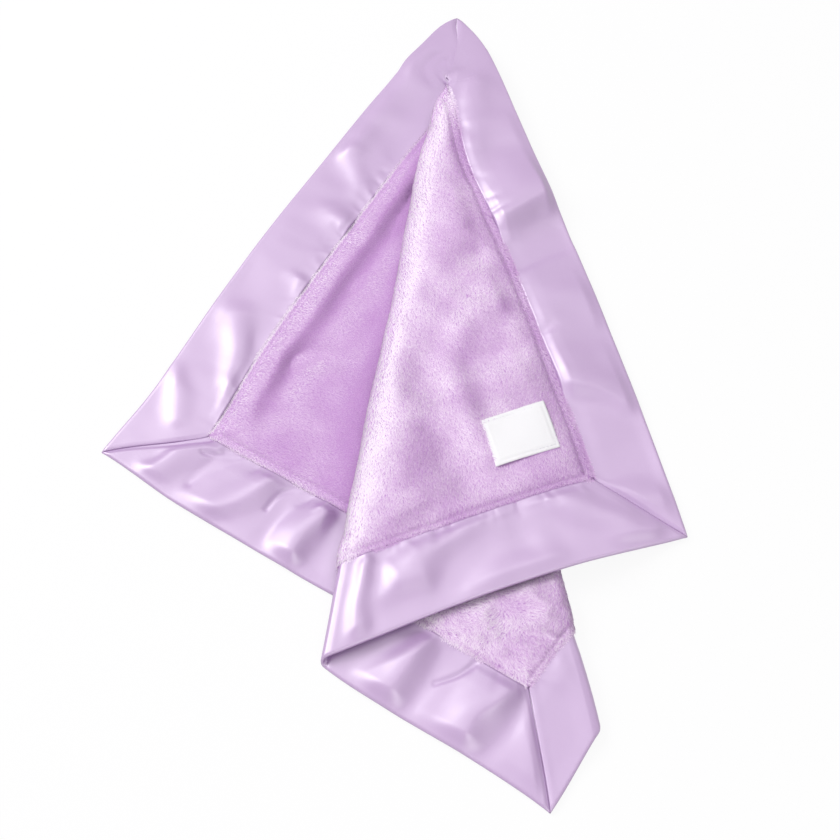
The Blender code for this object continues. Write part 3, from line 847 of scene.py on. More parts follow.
@dataclass
class SatinStrip:
    """One strip of the border: doubled satin, gathered along the plush and mitred at both ends."""

    pleat: KnifePleat
    side: Side
    ridges: list[Ridge]
    seed: int
    spacing: float = 0.0009
    half_thickness: float = 0.0009
    edge_half_thickness: float = 0.0005
    edge_taper: float = 0.0012
    seam_taper: float = 0.0130
    mitre_fall: float = 0.0026
    calm_reach: float = 0.0280
    mitre_taper: float = 0.0022
    piping_height: float = 0.0005
    piping_width: float = 0.0008
    puff: float = 0.0007
    warp: float = 0.0028
    warp_cell: float = 0.0200
    drift: float = 0.0010
    drift_length: float = 0.0240
    gathers: int = 56
    lift: float = 0.0010
    softness: float = 0.0012
    sink: float = 0.6
    gap: float = 0.00012
    drift_slant: float = 0.35
    drift_squeeze: float = 0.4
    quick_share: float = 0.35
    quick_length_share: float = 0.45
    quick_squeeze: float = 0.5
    gather_places: tuple = (48.0, 332.0)
    gather_lengths: tuple = (4.0, 13.0)
    gather_rises: tuple = (0.3, 1.0)
    gather_slant: float = 0.6
    gather_widths: tuple = (0.9, 2.0)
    gather_end_width: float = 3.0
    gather_end_share: float = 0.1
    gather_overrun: float = 1.0
    calm_gather_share: float = 0.4
    fold_start: float = 0.006
    fold_reach: float = 0.012
    crease_start: float = 0.001
    crease_reach: float = 0.006
    cover_reach: float = 0.014
    edge_reach: float = 0.010
    seam_reach: float = 0.006
    end_reach: float = 0.006
    edge_share: float = 0.2
    seam_share: float = 0.5
    end_share: float = 0.25
    lift_share: float = 0.4
    puff_share: float = 0.85
    mitre_share: float = 0.35
    mitre_thickness_share: float = 0.3
    under_share: float = 0.2
    under_seam_share: float = 0.7
    calm_share: float = 0.9
    calm_start: float = 0.012

    @property
    def name(self) -> str:
        """The piece's name."""
        return "border_" + self.side.name.lower()

    @property
    def width(self) -> float:
        """The strip's finished width."""
        pattern = self.pleat.pattern
        return pattern.gathered_border if self.side is Side.UPPER_LEFT else pattern.border

    def grid(self) -> dict[str, np.ndarray]:
        """Lays out the strip's pattern points.

        Returns:
            Their places a and b, along the side, and into the strip from its outer edge.
        """
        pattern = self.pleat.pattern
        number, after = self.side.value, (self.side.value + 1) % 4
        outer, inner = pattern.corners(), pattern.seam_corners()
        columns, rows = int(pattern.side / self.spacing), int(self.width / self.spacing)
        margin = self.gap / pattern.side
        across = np.linspace(0.0, 1.0 - self.gap / self.width, rows + 1)
        u, v = crossed(np.linspace(margin, 1.0 - margin, columns + 1), across)
        low = outer[number] + (outer[after] - outer[number]) * u[..., None]
        high = inner[number] + (inner[after] - inner[number]) * u[..., None]
        points = low + (high - low) * v[..., None]
        along = (points - outer[number]) @ (outer[after] - outer[number]) / pattern.side
        return {"a": points[..., 0], "b": points[..., 1], "along": along, "into": v * self.width}

    def seam_gathers(self) -> list[Ridge]:
        """Small puckers that the seam's gathering leaves.

        Returns:
            The puckers, in the order that they are drawn in.
        """
        rng = np.random.default_rng(self.seed)
        width = self.width / MM
        calmed = self.calm_gather_share if self.side is Side.UPPER_RIGHT else 1.0
        found = []
        for place in rng.uniform(*self.gather_places, self.gathers):
            length = rng.uniform(*self.gather_lengths)
            rise = rng.uniform(*self.gather_rises) * rng.choice([-1.0, 1.0]) * calmed
            slant = rng.uniform(-self.gather_slant, self.gather_slant)
            start, end = (place, width + self.gather_overrun), (place + slant * length, width - length)
            widths = (rng.uniform(*self.gather_widths), self.gather_end_width)
            found.append(Ridge(start, end, (rise, self.gather_end_share * rise), widths))
        return found

    def relief(self, grid: dict[str, np.ndarray]) -> np.ndarray:
        """Height of the satin's slow drift, ridges, creases and gathers.

        Args:
            grid: The strip's points, as grid gives them.

        Returns:
            Heights in metres.
        """
        along, into = grid["along"], grid["into"]
        slow = SmoothNoise(self.seed, self.drift_length)
        quick = SmoothNoise(self.seed + 9, self.quick_length_share * self.drift_length)
        drift = slow.at(along + self.drift_slant * into, self.drift_squeeze * into)
        height = self.drift * (drift + self.quick_share * quick.at(along, self.quick_squeeze * into))
        sway = SmoothNoise(self.seed + 5, self.warp_cell)
        swayed_along = along + self.warp * sway.at(along, into)
        swayed_into = into + self.warp * sway.at(along + 0.5, into)
        for ridge in self.ridges:
            height = height + ridge.height(swayed_along, swayed_into)
        for ridge in self.seam_gathers():
            height = height + ridge.height(along, into)
        return height

    def surfaces(self, grid: dict[str, np.ndarray]) -> tuple[np.ndarray, np.ndarray]:
        """Places of the strip's two faces.

        Args:
            grid: The strip's points, as grid gives them.

        Returns:
            The front face's places and the back face's.
        """
        pattern = self.pleat.pattern
        a, b, along, into = grid["a"], grid["b"], grid["along"], grid["into"]
        laid, normals = self.pleat.lay(a, b), self.pleat.normals(a, b)
        inside = -pattern.seam_distance(a, b)
        slant = into * (pattern.border / self.width)
        from_start = (along - slant) / math.sqrt(2.0)
        from_end = (pattern.side - along - slant) / math.sqrt(2.0)
        to_end = np.minimum(from_start, from_end)
        past_edge, past_seam = eased_step(into / self.edge_taper), eased_step(inside / self.seam_taper)
        thin = self.edge_half_thickness
        profile = past_edge * past_seam
        profile = profile * from_share(self.mitre_thickness_share, eased_step(from_end / self.mitre_taper))
        half = thin + (self.half_thickness - thin) * profile
        half = half + self.piping_height * bell(from_start - self.piping_width, self.piping_width) * past_edge

        lower = laid["layer"] == 2
        to_first = np.abs(laid["run"])
        to_second = np.abs(laid["run"] - self.pleat.second_run(a, b))
        free = eased_step(laid["clear"] / self.cover_reach)
        free = free * np.where(lower, 1.0, eased_from(to_first, self.fold_start, self.fold_reach))
        free = free * eased_from(to_second, self.fold_start, self.fold_reach)
        held = np.where(lower, 1.0, eased_from(to_first, self.crease_start, self.crease_reach))
        held = held * eased_from(to_second, self.crease_start, self.crease_reach)
        at_edge, at_seam = eased_step(into / self.edge_reach), eased_step(inside / self.seam_reach)
        waves = self.relief(grid) * from_share(self.edge_share, at_edge)
        waves = waves * from_share(self.seam_share, at_seam)
        waves = waves * from_share(self.end_share, eased_step(to_end / self.end_reach))
        raised = waves * free + self.lift * from_share(self.lift_share, past_seam)
        raised = 0.5 * (raised + np.sqrt(raised**2 + self.softness**2)) - self.sink * half
        puffed = self.puff * np.sqrt(past_edge) * from_share(self.puff_share, past_seam)
        relief = (raised + puffed) * held
        relief = relief * from_share(self.mitre_share, eased_step(to_end / self.mitre_fall))
        upper = half + relief
        under = half - np.maximum(relief, 0.0) * (self.under_share + self.under_seam_share * at_seam)
        up_front = laid["layer"] != 1
        front, back = np.where(up_front, upper, under), np.where(up_front, under, upper)
        top = laid["places"] + normals * front[..., None]
        bottom = laid["places"] - normals * back[..., None]
        for surface in (top, bottom):
            surface[..., 2] = np.maximum(surface[..., 2], 0.0)
        return top, bottom

    def set_shading(self, obj: bpy.types.Object, grid: dict[str, np.ndarray]) -> None:
        """Eases the shading of the laid slope, and round the pleat's point where the folds begin.

        Args:
            obj: The strip's object.
            grid: The strip's points, as grid gives them.
        """
        radius = self.pleat.polar(grid["a"], grid["b"])[0].ravel()
        calm = self.calm_share * (1.0 - eased_from(radius, self.calm_start, self.calm_reach))
        calm = np.tile(calm, 2)[:, None]
        normals = np.zeros(3 * len(obj.data.vertices), dtype=np.float32)
        obj.data.vertices.foreach_get("normal", normals)
        base = self.pleat.normals(grid["a"], grid["b"]).reshape(-1, 3)
        normals = levelled(normals.reshape(-1, 3), np.concatenate([base, -base]))
        up = UP * np.where(normals[:, 2:] < 0.0, -1.0, 1.0)
        obj.data.normals_split_custom_set_from_vertices(unit(normals * (1.0 - calm) + up * calm))

    def build(self, material: bpy.types.Material) -> bpy.types.Object:
        """Makes the strip as one closed tube of cloth.

        Args:
            material: The satin.

        Returns:
            The strip's object.
        """
        grid = self.grid()
        obj = make_piece(self.name, *closed_sheet(*self.surfaces(grid)))
        self.set_shading(obj, grid)
        add_uv(obj, BAKE_MAP, sheet_uv(*grid["a"].shape))
        cloth = np.stack([grid["along"], grid["into"]], axis=-1).reshape(-1, 2)
        add_uv(obj, CLOTH_MAP, np.concatenate([cloth, cloth]))
        return dress(obj, material)


@dataclass(frozen=True)
class PileKind:
    """One sort of pile: how long, wide, dense and ruffled its strands are.

    Angles are in degrees: nap on the pattern from a towards b, sway and curl as spreads, lift and
    droop over the ground for the strand's lower and upper half.
    """

    length: float
    width: float
    density: float
    nap: float
    sway: float
    sway_cell: float
    curl: float
    lift: float
    droop: float
    ruffle: float = 10.0
    shade: float = 0.0
    # Painted shade beside the layer that covers this one.
    painted_cover_shade: float = 0.0
    # Painted light along the seam: shade where negative, highlight where positive.
    painted_seam_light: float = 0.0
    # Painted highlight on a fold's flank.
    painted_flank_highlight: float = 0.0
    flank_lean: float = 0.0
    patch_cell: float = 0.012


PILES = {
    # Front layer: painted shade along the seam and painted highlight on the fold's flank.
    "pile_front_layer": PileKind(
        length=3.5 * MM, width=0.42 * MM, density=3.9, nap=8.0, sway=34.0, sway_cell=0.034, curl=24.0,
        lift=17.0, droop=3.0, painted_seam_light=-0.15, painted_flank_highlight=0.8, flank_lean=0.6,
    ),
    # Lower layer, the same plush as the front layer: its shade of -0.15 and the shade beside the layer that
    # covers it are painted shade, and its seam value is painted highlight.
    "pile_lower_layer": PileKind(
        length=2.3 * MM, width=0.36 * MM, density=4.2, nap=-8.0, sway=14.0, sway_cell=0.050, curl=12.0,
        lift=17.0, droop=4.0, shade=-0.15, painted_cover_shade=0.5, painted_seam_light=0.45,
    ),
    "pile_turned_layer": PileKind(
        length=3.8 * MM, width=0.50 * MM, density=3.6, nap=70.0, sway=80.0, sway_cell=0.014, curl=30.0,
        lift=12.0, droop=2.0, shade=0.1,
    ),
    "pile_underside": PileKind(
        length=2.6 * MM, width=0.60 * MM, density=0.6, nap=20.0, sway=40.0, sway_cell=0.030, curl=12.0,
        lift=18.0, droop=4.0,
    ),
}


@dataclass(frozen=True)
class Footing:
    """Where strands stand: their pattern points, the cloth there, and how far off seam and folds are."""

    points: np.ndarray
    along_a: np.ndarray
    along_b: np.ndarray
    normal: np.ndarray
    over: np.ndarray
    tilt: np.ndarray
    inside: np.ndarray
    to_fold: np.ndarray
    clear: np.ndarray


@dataclass
class PlushPanel:
    """One face's plush: the knitted ground with strands of pile standing on it."""

    pleat: KnifePleat
    face: Face
    seed: int
    spacing: float = 0.0016
    full_height: float = 0.0027
    seam_height: float = 0.0014
    stitching_inset: float = 0.0040
    stitching_dip: float = 0.0003
    full_pile_inset: float = 0.0130
    gap: float = 0.00015
    lump_height: float = 0.0012
    fold_thinning: float = 0.0016
    thinning_reach: float = 0.0100
    slope_gain: float = 2.2
    root_depth: float = 0.0001
    fringe_reach: float = 0.0032
    fold_reach: float = 0.0055
    lean_share: float = 0.3
    flank_reach: float = 0.0120
    # Painted light on the strands: paler where the ground faces the key lamp, darker where it faces away; the
    # way away from that lamp follows.
    painted_slope_light: float = 1.4
    away_from_key_lamp: tuple = (0.85, -0.52, 0.0)
    normal_spread: float = 0.10
    stitching_width: float = 0.0013
    within_start: float = 0.006
    within_reach: float = 0.012
    lump_cells: tuple = (0.013, 0.030)
    small_lump_share: float = 0.3
    least_height: float = 0.0004
    fringe_share: float = 0.85
    fringe_lift: float = 0.35
    fine_cell_share: float = 0.35
    fine_sway_share: float = 0.5
    way_spread: float = 0.2
    roll_spread: float = 0.3
    radial_share: float = 0.7
    pressed_share: float = 0.3
    pressed_width: float = 0.0014
    seam_length_share: float = 0.6
    fold_shortening: float = 0.15
    fold_calm: float = 0.6
    length_range: tuple = (0.7, 1.2)
    width_range: tuple = (0.7, 1.3)
    floor_range: tuple = (0.00005, 0.0003)
    patch_shade: float = 0.14
    shade_spread: float = 0.11
    seam_shade_reach: float = 0.0045
    hidden_reach: float = 0.018
    shade_margin: float = 0.02
    # Each strand's place on the root-to-tip ramp, at its root, the two sides of its middle and its tip; the
    # darker roots are painted shade.
    rises: tuple = (0.02, 0.5, 0.5, 0.98)

    @property
    def stitched_height(self) -> float:
        """The ground's height under the topstitching."""
        share = 1.0 - self.stitching_inset / self.full_pile_inset
        return self.full_height - (self.full_height - self.seam_height) * share**2 - self.stitching_dip

    @property
    def name(self) -> str:
        """The panel's name."""
        return "plush_ground_" + self.face.name.lower()

    def height(self, a: np.ndarray, b: np.ndarray) -> np.ndarray:
        """The ground's height over the middle surface.

        Args:
            a, b: Pattern places, in metres.

        Returns:
            Heights in metres.
        """
        inside = self.pleat.pattern.seam_distance(a, b)
        rounding = 1.0 - (1.0 - np.clip(inside / self.full_pile_inset, 0.0, 1.0)) ** 2
        height = self.seam_height + (self.full_height - self.seam_height) * rounding
        height = height - self.stitching_dip * bell(inside - self.stitching_inset, self.stitching_width)
        within = eased_from(inside, self.within_start, self.within_reach)
        run = self.pleat.lay(a, b)["run"]
        height = height - self.fold_thinning * np.exp(-np.abs(run) / self.thinning_reach) * within
        small, large = (SmoothNoise(self.seed + k, cell).at(a, b) for k, cell in enumerate(self.lump_cells))
        lumps = self.small_lump_share * small + (1.0 - self.small_lump_share) * large
        for swell in SWELLS if self.face is Face.FRONT else []:
            height = height + swell.height(a, b) * within
        return np.maximum(height + self.lump_height * lumps * within, self.least_height)

    def ground(self, material: bpy.types.Material) -> bpy.types.Object:
        """Makes the knitted ground as one closed sheet.

        Args:
            material: The ground's material.

        Returns:
            The ground's object.
        """
        corners = self.pleat.pattern.seam_corners()
        low, high = corners[0] + self.gap, corners[2] - self.gap
        rows, columns = ((high - low) / self.spacing).astype(int) + 1
        a, b = crossed(np.linspace(low[0], high[0], rows), np.linspace(low[1], high[1], columns))
        places, normals = self.pleat.places(a, b), self.pleat.normals(a, b)
        sign = self.face.value
        near = places + normals * self.gap * sign
        far = places + normals * (self.height(a, b) * sign)[..., None]
        far[..., 2] = np.maximum(far[..., 2], 0.0)
        top, bottom = (far, near) if sign > 0 else (near, far)
        obj = make_piece(self.name, *closed_sheet(top, bottom))
        add_uv(obj, BAKE_MAP, sheet_uv(rows, columns))
        return dress(obj, material)

    def footing(self, points: np.ndarray) -> Footing:
        """Looks up the cloth where strands stand.

        Args:
            points: Pattern points, one for each strand.

        Returns:
            The cloth's directions, slope and distances there.
        """
        a, b = points.T
        pleat, step = self.pleat, self.spacing / 2.0
        along_a, along_b, normal = pleat.frames(a, b)
        slope_a = (self.height(a + step, b) - self.height(a - step, b)) / (2.0 * step)
        slope_b = (self.height(a, b + step) - self.height(a, b - step)) / (2.0 * step)
        laid = pleat.lay(a, b)
        run = laid["run"]
        run_a, run_b = pleat.lay(a + step, b)["run"] - run, pleat.lay(a, b + step)["run"] - run
        return Footing(
            points,
            along_a,
            along_b,
            normal * self.face.value,
            over=unit(along_a * run_a[:, None] + along_b * run_b[:, None]),
            tilt=along_a * slope_a[:, None] + along_b * slope_b[:, None],
            inside=pleat.pattern.seam_distance(a, b),
            to_fold=np.minimum(np.abs(run), np.abs(run - pleat.second_run(a, b))),
            clear=laid["clear"],
        )

    def fringe(self, foot: Footing) -> np.ndarray:
        """How much each strand takes part in the fringe at the seam."""
        return self.fringe_share * bell(np.maximum(foot.inside, 0.0), self.fringe_reach)[:, None]

    def directions(self, kind: PileKind, foot: Footing, seed: int, rng: np.random.Generator) -> np.ndarray:
        """Which way strands lie: with the nap, but outwards at the seam and along a fold on the fold.

        Args:
            kind: The sort of pile.
            foot: Where the strands stand.
            seed: Seed for the nap's sway.
            rng: The strands' random draws.

        Returns:
            Unit vectors on the cloth.
        """
        a, b = foot.points.T
        coarse = SmoothNoise(seed + 2, kind.sway_cell).at(a, b)
        fine = SmoothNoise(seed + 3, kind.sway_cell * self.fine_cell_share).at(a, b)
        angle = np.radians(kind.nap + kind.sway * (coarse + self.fine_sway_share * fine))
        angle = angle + rng.normal(0.0, self.way_spread, len(a))
        way = np.stack([np.cos(angle), np.sin(angle)], axis=-1)
        fringe = self.fringe(foot)
        way = unit(way * (1.0 - fringe) + self.pleat.pattern.outward(a, b) * fringe)
        folded = bell(foot.to_fold, self.fold_reach)[:, None]
        radial = unit(foot.points - np.array([self.pleat.point_a, self.pleat.point_b]))
        way = unit(way * (1.0 - self.radial_share * folded) + radial * self.radial_share * folded)
        along = foot.along_a * way[:, :1] + foot.along_b * way[:, 1:]
        return unit(along - foot.normal * (along * foot.normal).sum(-1, keepdims=True))

    def bent(self, kind: PileKind, foot: Footing, along: np.ndarray, rng: np.random.Generator) -> np.ndarray:
        """Places of the strands, which bend in the middle.

        Args:
            kind: The sort of pile.
            foot: Where the strands stand.
            along: Which way they lie.
            rng: The strands' random draws.

        Returns:
            The root, both sides of the middle and the tip of each strand.
        """
        count = len(along)
        a, b = foot.points.T
        normal, across = foot.normal, np.cross(foot.normal, along)
        folded = bell(foot.to_fold, self.fold_reach)
        base = self.pleat.places(a, b) + normal * (self.height(a, b) - self.root_depth)[:, None]
        pressed = 1.0 - self.pressed_share * bell(foot.inside - self.stitching_inset, self.pressed_width)
        short = from_share(self.seam_length_share, eased_step(foot.inside / self.stitching_inset))
        short = short * pressed * (1.0 - self.fold_shortening * folded)
        length = kind.length * rng.uniform(*self.length_range, count) * short
        calm = 1.0 - self.fold_calm * folded
        lift, droop, curl = (
            (np.radians(rng.normal(middle, spread, count)) * calm)[:, None]
            for middle, spread in ((kind.lift, kind.ruffle), (kind.droop, kind.ruffle), (0.0, kind.curl))
        )
        lift = lift + self.fringe_lift * self.fringe(foot)
        roll = rng.normal(0.0, self.roll_spread, count)[:, None]
        turned = along * np.cos(curl) + across * np.sin(curl)
        lower = along * np.cos(lift) + normal * np.sin(lift)
        upper = turned * np.cos(droop) + normal * np.sin(droop)
        middle = base + lower * (0.5 * length)[:, None]
        tip = middle + upper * (0.5 * length)[:, None]
        sideways = across * np.cos(roll) + normal * np.sin(roll)
        sideways = sideways * (0.5 * kind.width * rng.uniform(*self.width_range, count))[:, None]
        vertices = np.stack([base, middle + sideways, middle - sideways, tip], axis=1)
        vertices[..., 2] = np.maximum(vertices[..., 2], rng.uniform(*self.floor_range, (count, 1)))
        return vertices

    def shading(
        self, kind: PileKind, foot: Footing, along: np.ndarray, rng: np.random.Generator
    ) -> np.ndarray:
        """Normals that shade strands like the ground below them.

        Args:
            kind: The sort of pile.
            foot: Where the strands stand.
            along: Which way they lie.
            rng: The strands' random draws.

        Returns:
            One unit normal for each strand.
        """
        flank = bell(foot.to_fold, self.flank_reach)
        soft = unit(foot.normal - self.slope_gain * foot.tilt)
        soft = levelled(soft, foot.normal, LEVELLED_SHARE * (1.0 - flank)[:, None])
        soft = unit(soft + foot.over * (kind.flank_lean * flank)[:, None])
        return unit(soft - self.lean_share * along + rng.normal(0.0, self.normal_spread, along.shape))

    def shades(self, kind: PileKind, foot: Footing, seed: int, rng: np.random.Generator) -> np.ndarray:
        """How pale each strand is, from 0 to 1, with painted light: highlight on fold flanks and on ground
        facing the key lamp, shade on ground facing away, shade beside the covering layer and shade or
        highlight along the seam.

        Args:
            kind: The sort of pile.
            foot: Where the strands stand.
            seed: Seed for the patches.
            rng: The strands' random draws.

        Returns:
            One shade for each strand.
        """
        patch = SmoothNoise(seed + 4, kind.patch_cell).at(*foot.points.T)
        loose = rng.uniform(-self.shade_spread, self.shade_spread, len(patch))
        shade = 0.5 + kind.shade + self.patch_shade * patch + loose
        # Painted highlight on a fold's flank, which faces the key lamp.
        shade = shade + kind.painted_flank_highlight * bell(foot.to_fold, self.flank_reach)
        # Painted highlight and shade: paler on ground that faces the key lamp, darker on ground that faces
        # away.
        shade = shade + self.painted_slope_light * (foot.tilt @ np.array(self.away_from_key_lamp))
        # Painted light along the seam: shade on the front layer, highlight on the lower layer.
        shade = shade + kind.painted_seam_light * bell(np.maximum(foot.inside, 0.0), self.seam_shade_reach)
        # Painted shade beside the layer that covers the strands.
        shade = shade - kind.painted_cover_shade * np.exp(-np.maximum(foot.clear, 0.0) / self.hidden_reach)
        return np.clip(shade, self.shade_margin, 1.0 - self.shade_margin)

    def strands(
        self, name: str, kind: PileKind, points: np.ndarray, material: bpy.types.Material, seed: int
    ) -> bpy.types.Object:
        """Makes strands of pile, each of two triangles, that take light but throw no shadow.

        Args:
            name: The piece's name.
            kind: The sort of pile.
            points: Pattern points, one for each strand.
            material: The pile's material.
            seed: Seed for the strands' small differences.

        Returns:
            The pile's object.
        """
        rng = np.random.default_rng(seed)
        foot = self.footing(points)
        along = self.directions(kind, foot, seed, rng)
        vertices = self.bent(kind, foot, along, rng)
        first = np.arange(len(points))[:, None] * 4
        triangles = np.concatenate([first + np.array([0, 2, 1]), first + np.array([2, 3, 1])])
        obj = make_piece(name, vertices.reshape(-1, 3), triangles)
        shaded = self.shading(kind, foot, along, rng)
        obj.data.normals_split_custom_set_from_vertices(np.repeat(shaded, 4, axis=0))
        shades = np.repeat(self.shades(kind, foot, seed, rng), 4)
        add_uv(obj, BAKE_MAP, np.stack([shades, np.tile(self.rises, len(points))], axis=-1))
        obj.visible_shadow = False
        return dress(obj, material)


@dataclass
class Pile:
    """The strands of both faces, each stretch of plush with its own sort of pile."""

    pleat: KnifePleat
    front: PlushPanel
    back: PlushPanel
    bare: np.ndarray
    overlap: float = 0.0004
    fold_reach: float = 0.0054
    cover: float = 0.0120
    first_seed: int = 11
    seed_step: int = 20

    def scatter(self, density: float, seed: int) -> np.ndarray:
        """Scatters pattern points over the whole panel.

        Args:
            density: Points on each square millimetre.
            seed: Seed for their small shifts off an even grid.

        Returns:
            The points.
        """
        corners = self.pleat.pattern.seam_corners()
        low, high = corners[0] - self.overlap, corners[2] + self.overlap
        step = MM / math.sqrt(density)
        a, b = crossed(np.arange(low[0], high[0], step), np.arange(low[1], high[1], step))
        points = np.stack([a.ravel(), b.ravel()], axis=-1)
        return points + np.random.default_rng(seed).uniform(-0.5, 0.5, points.shape) * step

    def shown(self, name: str, points: np.ndarray) -> np.ndarray:
        """Finds the pattern points of one stretch of pile.

        Args:
            name: The stretch's piece name.
            points: Pattern points.

        Returns:
            True for each point that belongs to it.
        """
        laid = self.pleat.lay(*points.T)
        layer, clear, run = laid["layer"], laid["clear"], laid["run"]
        to_second = np.abs(run - self.pleat.second_run(*points.T))
        if name == "pile_front_layer":
            under_label = ((points > self.bare[0]) & (points < self.bare[2])).all(axis=1)
            return ((layer == 0) | (run < self.fold_reach)) & ~under_label
        if name == "pile_lower_layer":
            return (layer == 2) & (clear > -self.cover)
        if name == "pile_turned_layer":
            return ((layer == 1) & (clear > -self.cover) & (run > 0.0)) | (to_second < self.fold_reach)
        return (layer != 1) & (to_second > self.fold_reach)

    def build(self, material: bpy.types.Material) -> list[bpy.types.Object]:
        """Makes the pile of each stretch of plush.

        Args:
            material: The pile's material.

        Returns:
            The two stretches on the front face, and then the two on the back.
        """
        made = []
        panels = (self.front, self.front, self.back, self.back)
        for number, (panel, (name, kind)) in enumerate(zip(panels, PILES.items())):
            seed = self.first_seed + self.seed_step * number
            points = self.scatter(kind.density, seed)
            points = points[self.shown(name, points)]
            made.append(panel.strands(name, kind, points, material, seed))
            log.info("%s: %d strands", name, len(points))
        return made


@dataclass
class StitchLine:
    """A closed line of separate stitches on one face, whose ends dip into the cloth.

    The profile gives places along a stitch, and the dip and width there, all as shares.
    """

    pleat: KnifePleat
    name: str
    corners: np.ndarray
    face: Face
    height: float
    stitch: float = 0.0030
    space: float = 0.0008
    radius: float = 0.00027
    dip: float = 0.00035
    sides: int = 6
    profile: tuple = (
        (0.0, 1.0, 0.02),
        (0.04, 0.95, 0.5),
        (0.2, 0.25, 0.95),
        (0.5, 0.0, 1.05),
        (0.8, 0.25, 0.95),
        (0.96, 0.95, 0.5),
        (1.0, 1.0, 0.02),
    )

    def starts(self) -> tuple[np.ndarray, np.ndarray]:
        """Spaces stitches evenly along each side of the line.

        Returns:
            The pattern start and direction of each stitch.
        """
        starts, ways = [], []
        for start, end in zip(self.corners, np.roll(self.corners, -1, axis=0)):
            length = np.linalg.norm(end - start)
            count = max(1, round(length / (self.stitch + self.space)))
            starts += [start + (end - start) * k / count for k in range(count)]
            ways += [(end - start) / length] * count
        return np.array(starts), np.array(ways)

    def build(self, material: bpy.types.Material, slot_name: str) -> bpy.types.Object:
        """Makes the stitches as short closed tubes.

        Args:
            material: The thread.
            slot_name: Not used.

        Returns:
            The stitches' object.
        """
        starts, ways = self.starts()
        shares, dips, widths = np.array(self.profile).T
        line = starts[:, None] + ways[:, None] * (shares * self.stitch)[None, :, None]
        a, b = line[..., 0], line[..., 1]
        normals = self.pleat.normals(a, b) * self.face.value
        centres = self.pleat.places(a, b) + normals * (self.height - self.dip * dips)[None, :, None]
        tangents = unit(np.gradient(centres, axis=1))
        sideways = unit(np.cross(normals, tangents))
        upright = np.cross(tangents, sideways)
        turns = np.linspace(0.0, 2.0 * math.pi, self.sides, endpoint=False)
        rings = sideways[:, :, None] * np.cos(turns)[:, None] + upright[:, :, None] * np.sin(turns)[:, None]
        vertices = centres[:, :, None] + rings * (self.radius * widths)[None, :, None, None]
        vertices[..., 2] = np.maximum(vertices[..., 2], 0.0)
        each = len(shares) * self.sides
        faces = []
        for low in range(0, each - self.sides, self.sides):
            high = low + self.sides
            for k in range(self.sides):
                after = (k + 1) % self.sides
                faces.append((low + k, low + after, high + after, high + k))
        every = np.arange(len(starts))[:, None, None] * each + np.array(faces)[None]
        obj = make_piece(self.name, vertices.reshape(-1, 3), every.reshape(-1, 4))
        return dress(obj, material)


@dataclass
class WovenLabel:
    """The bare woven label on the front plush, its hemmed edges pressed into the pile."""

    pleat: KnifePleat
    width: float = 0.0400
    height: float = 0.0300
    from_lower_right_seam: float = 0.0220
    from_upper_right_seam: float = 0.0135
    lift: float = 0.0036
    thickness: float = 0.0006
    sag: float = 0.0004
    sag_reach: float = 0.0060
    hem: float = 0.0048
    hem_step: float = 0.00015
    hem_ease: float = 0.0006
    rounding: float = 0.0003
    rounding_reach: float = 0.0005
    wave: float = 0.0004
    wave_turns: tuple = (4.0, 5.0)
    wave_starts: tuple = (0.5, 1.0)
    cells: int = 60
    bare_inset: float = 0.0006
    stitch_inset: float = 0.0022
    stitch_dip: float = 0.0002
    stitch_reach: float = 0.0004
    stitch_height: float = 0.0039
    stitch: float = 0.0016
    stitch_space: float = 0.0006
    stitch_radius: float = 0.00014

    def corners(self, inset: float = 0.0) -> np.ndarray:
        """Places the label's corners on the pattern.

        Args:
            inset: How far in from the label's edge they lie, in metres.

        Returns:
            The four corners.
        """
        pattern = self.pleat.pattern
        high_a = pattern.seam_end - self.from_lower_right_seam - inset
        low_a = high_a - self.height + 2.0 * inset
        low_b = pattern.border + self.from_upper_right_seam + inset
        high_b = low_b + self.width - 2.0 * inset
        return np.array([(low_a, low_b), (high_a, low_b), (high_a, high_b), (low_a, high_b)])

    def build(self, material: bpy.types.Material) -> bpy.types.Object:
        """Makes the label as one thin closed sheet, lower at its sewn edges.

        Args:
            material: The ribbon.

        Returns:
            The label's object.
        """
        low, high = self.corners()[0], self.corners()[2]
        shares = np.linspace(0.0, 1.0, self.cells)
        u, v = crossed(shares, shares)
        a, b = low[0] + (high[0] - low[0]) * u, low[1] + (high[1] - low[1]) * v
        edge = np.minimum(np.minimum(u, 1.0 - u) * self.height, np.minimum(v, 1.0 - v) * self.width)
        (turns_u, turns_v), (start_u, start_v) = self.wave_turns, self.wave_starts
        wave = self.wave * np.sin(turns_v * v + start_v) * np.sin(turns_u * u + start_u)
        sag = self.sag * (1.0 - eased_step(edge / self.sag_reach))
        hem = self.hem_step * eased_step((self.hem - edge) / self.hem_ease)
        rounded = self.rounding * (1.0 - eased_step(edge / self.rounding_reach))
        stitched = self.stitch_dip * bell(edge - self.stitch_inset, self.stitch_reach)
        face = self.lift + self.thickness + wave - sag
        places, normals = self.pleat.places(a, b), self.pleat.normals(a, b)
        top = places + normals * (face + hem - rounded - stitched)[..., None]
        bottom = places + normals * (face - self.thickness + rounded)[..., None]
        obj = make_piece("label_face", *closed_sheet(top, bottom))
        add_uv(obj, BAKE_MAP, sheet_uv(self.cells, self.cells))
        cloth = np.stack([u * self.height, v * self.width], axis=-1).reshape(-1, 2)
        add_uv(obj, CLOTH_MAP, np.concatenate([cloth, cloth]))
        return dress(obj, material)

    def sew(self, thread: bpy.types.Material) -> bpy.types.Object:
        """Makes the stitches round the label.

        Args:
            thread: The label's thread.

        Returns:
            The stitches' object.
        """
        corners = self.corners(self.stitch_inset)
        sizes = (self.stitch_height, self.stitch, self.stitch_space, self.stitch_radius)
        line = StitchLine(self.pleat, "label_stitches", corners, Face.FRONT, *sizes)
        return line.build(thread, "label_thread")


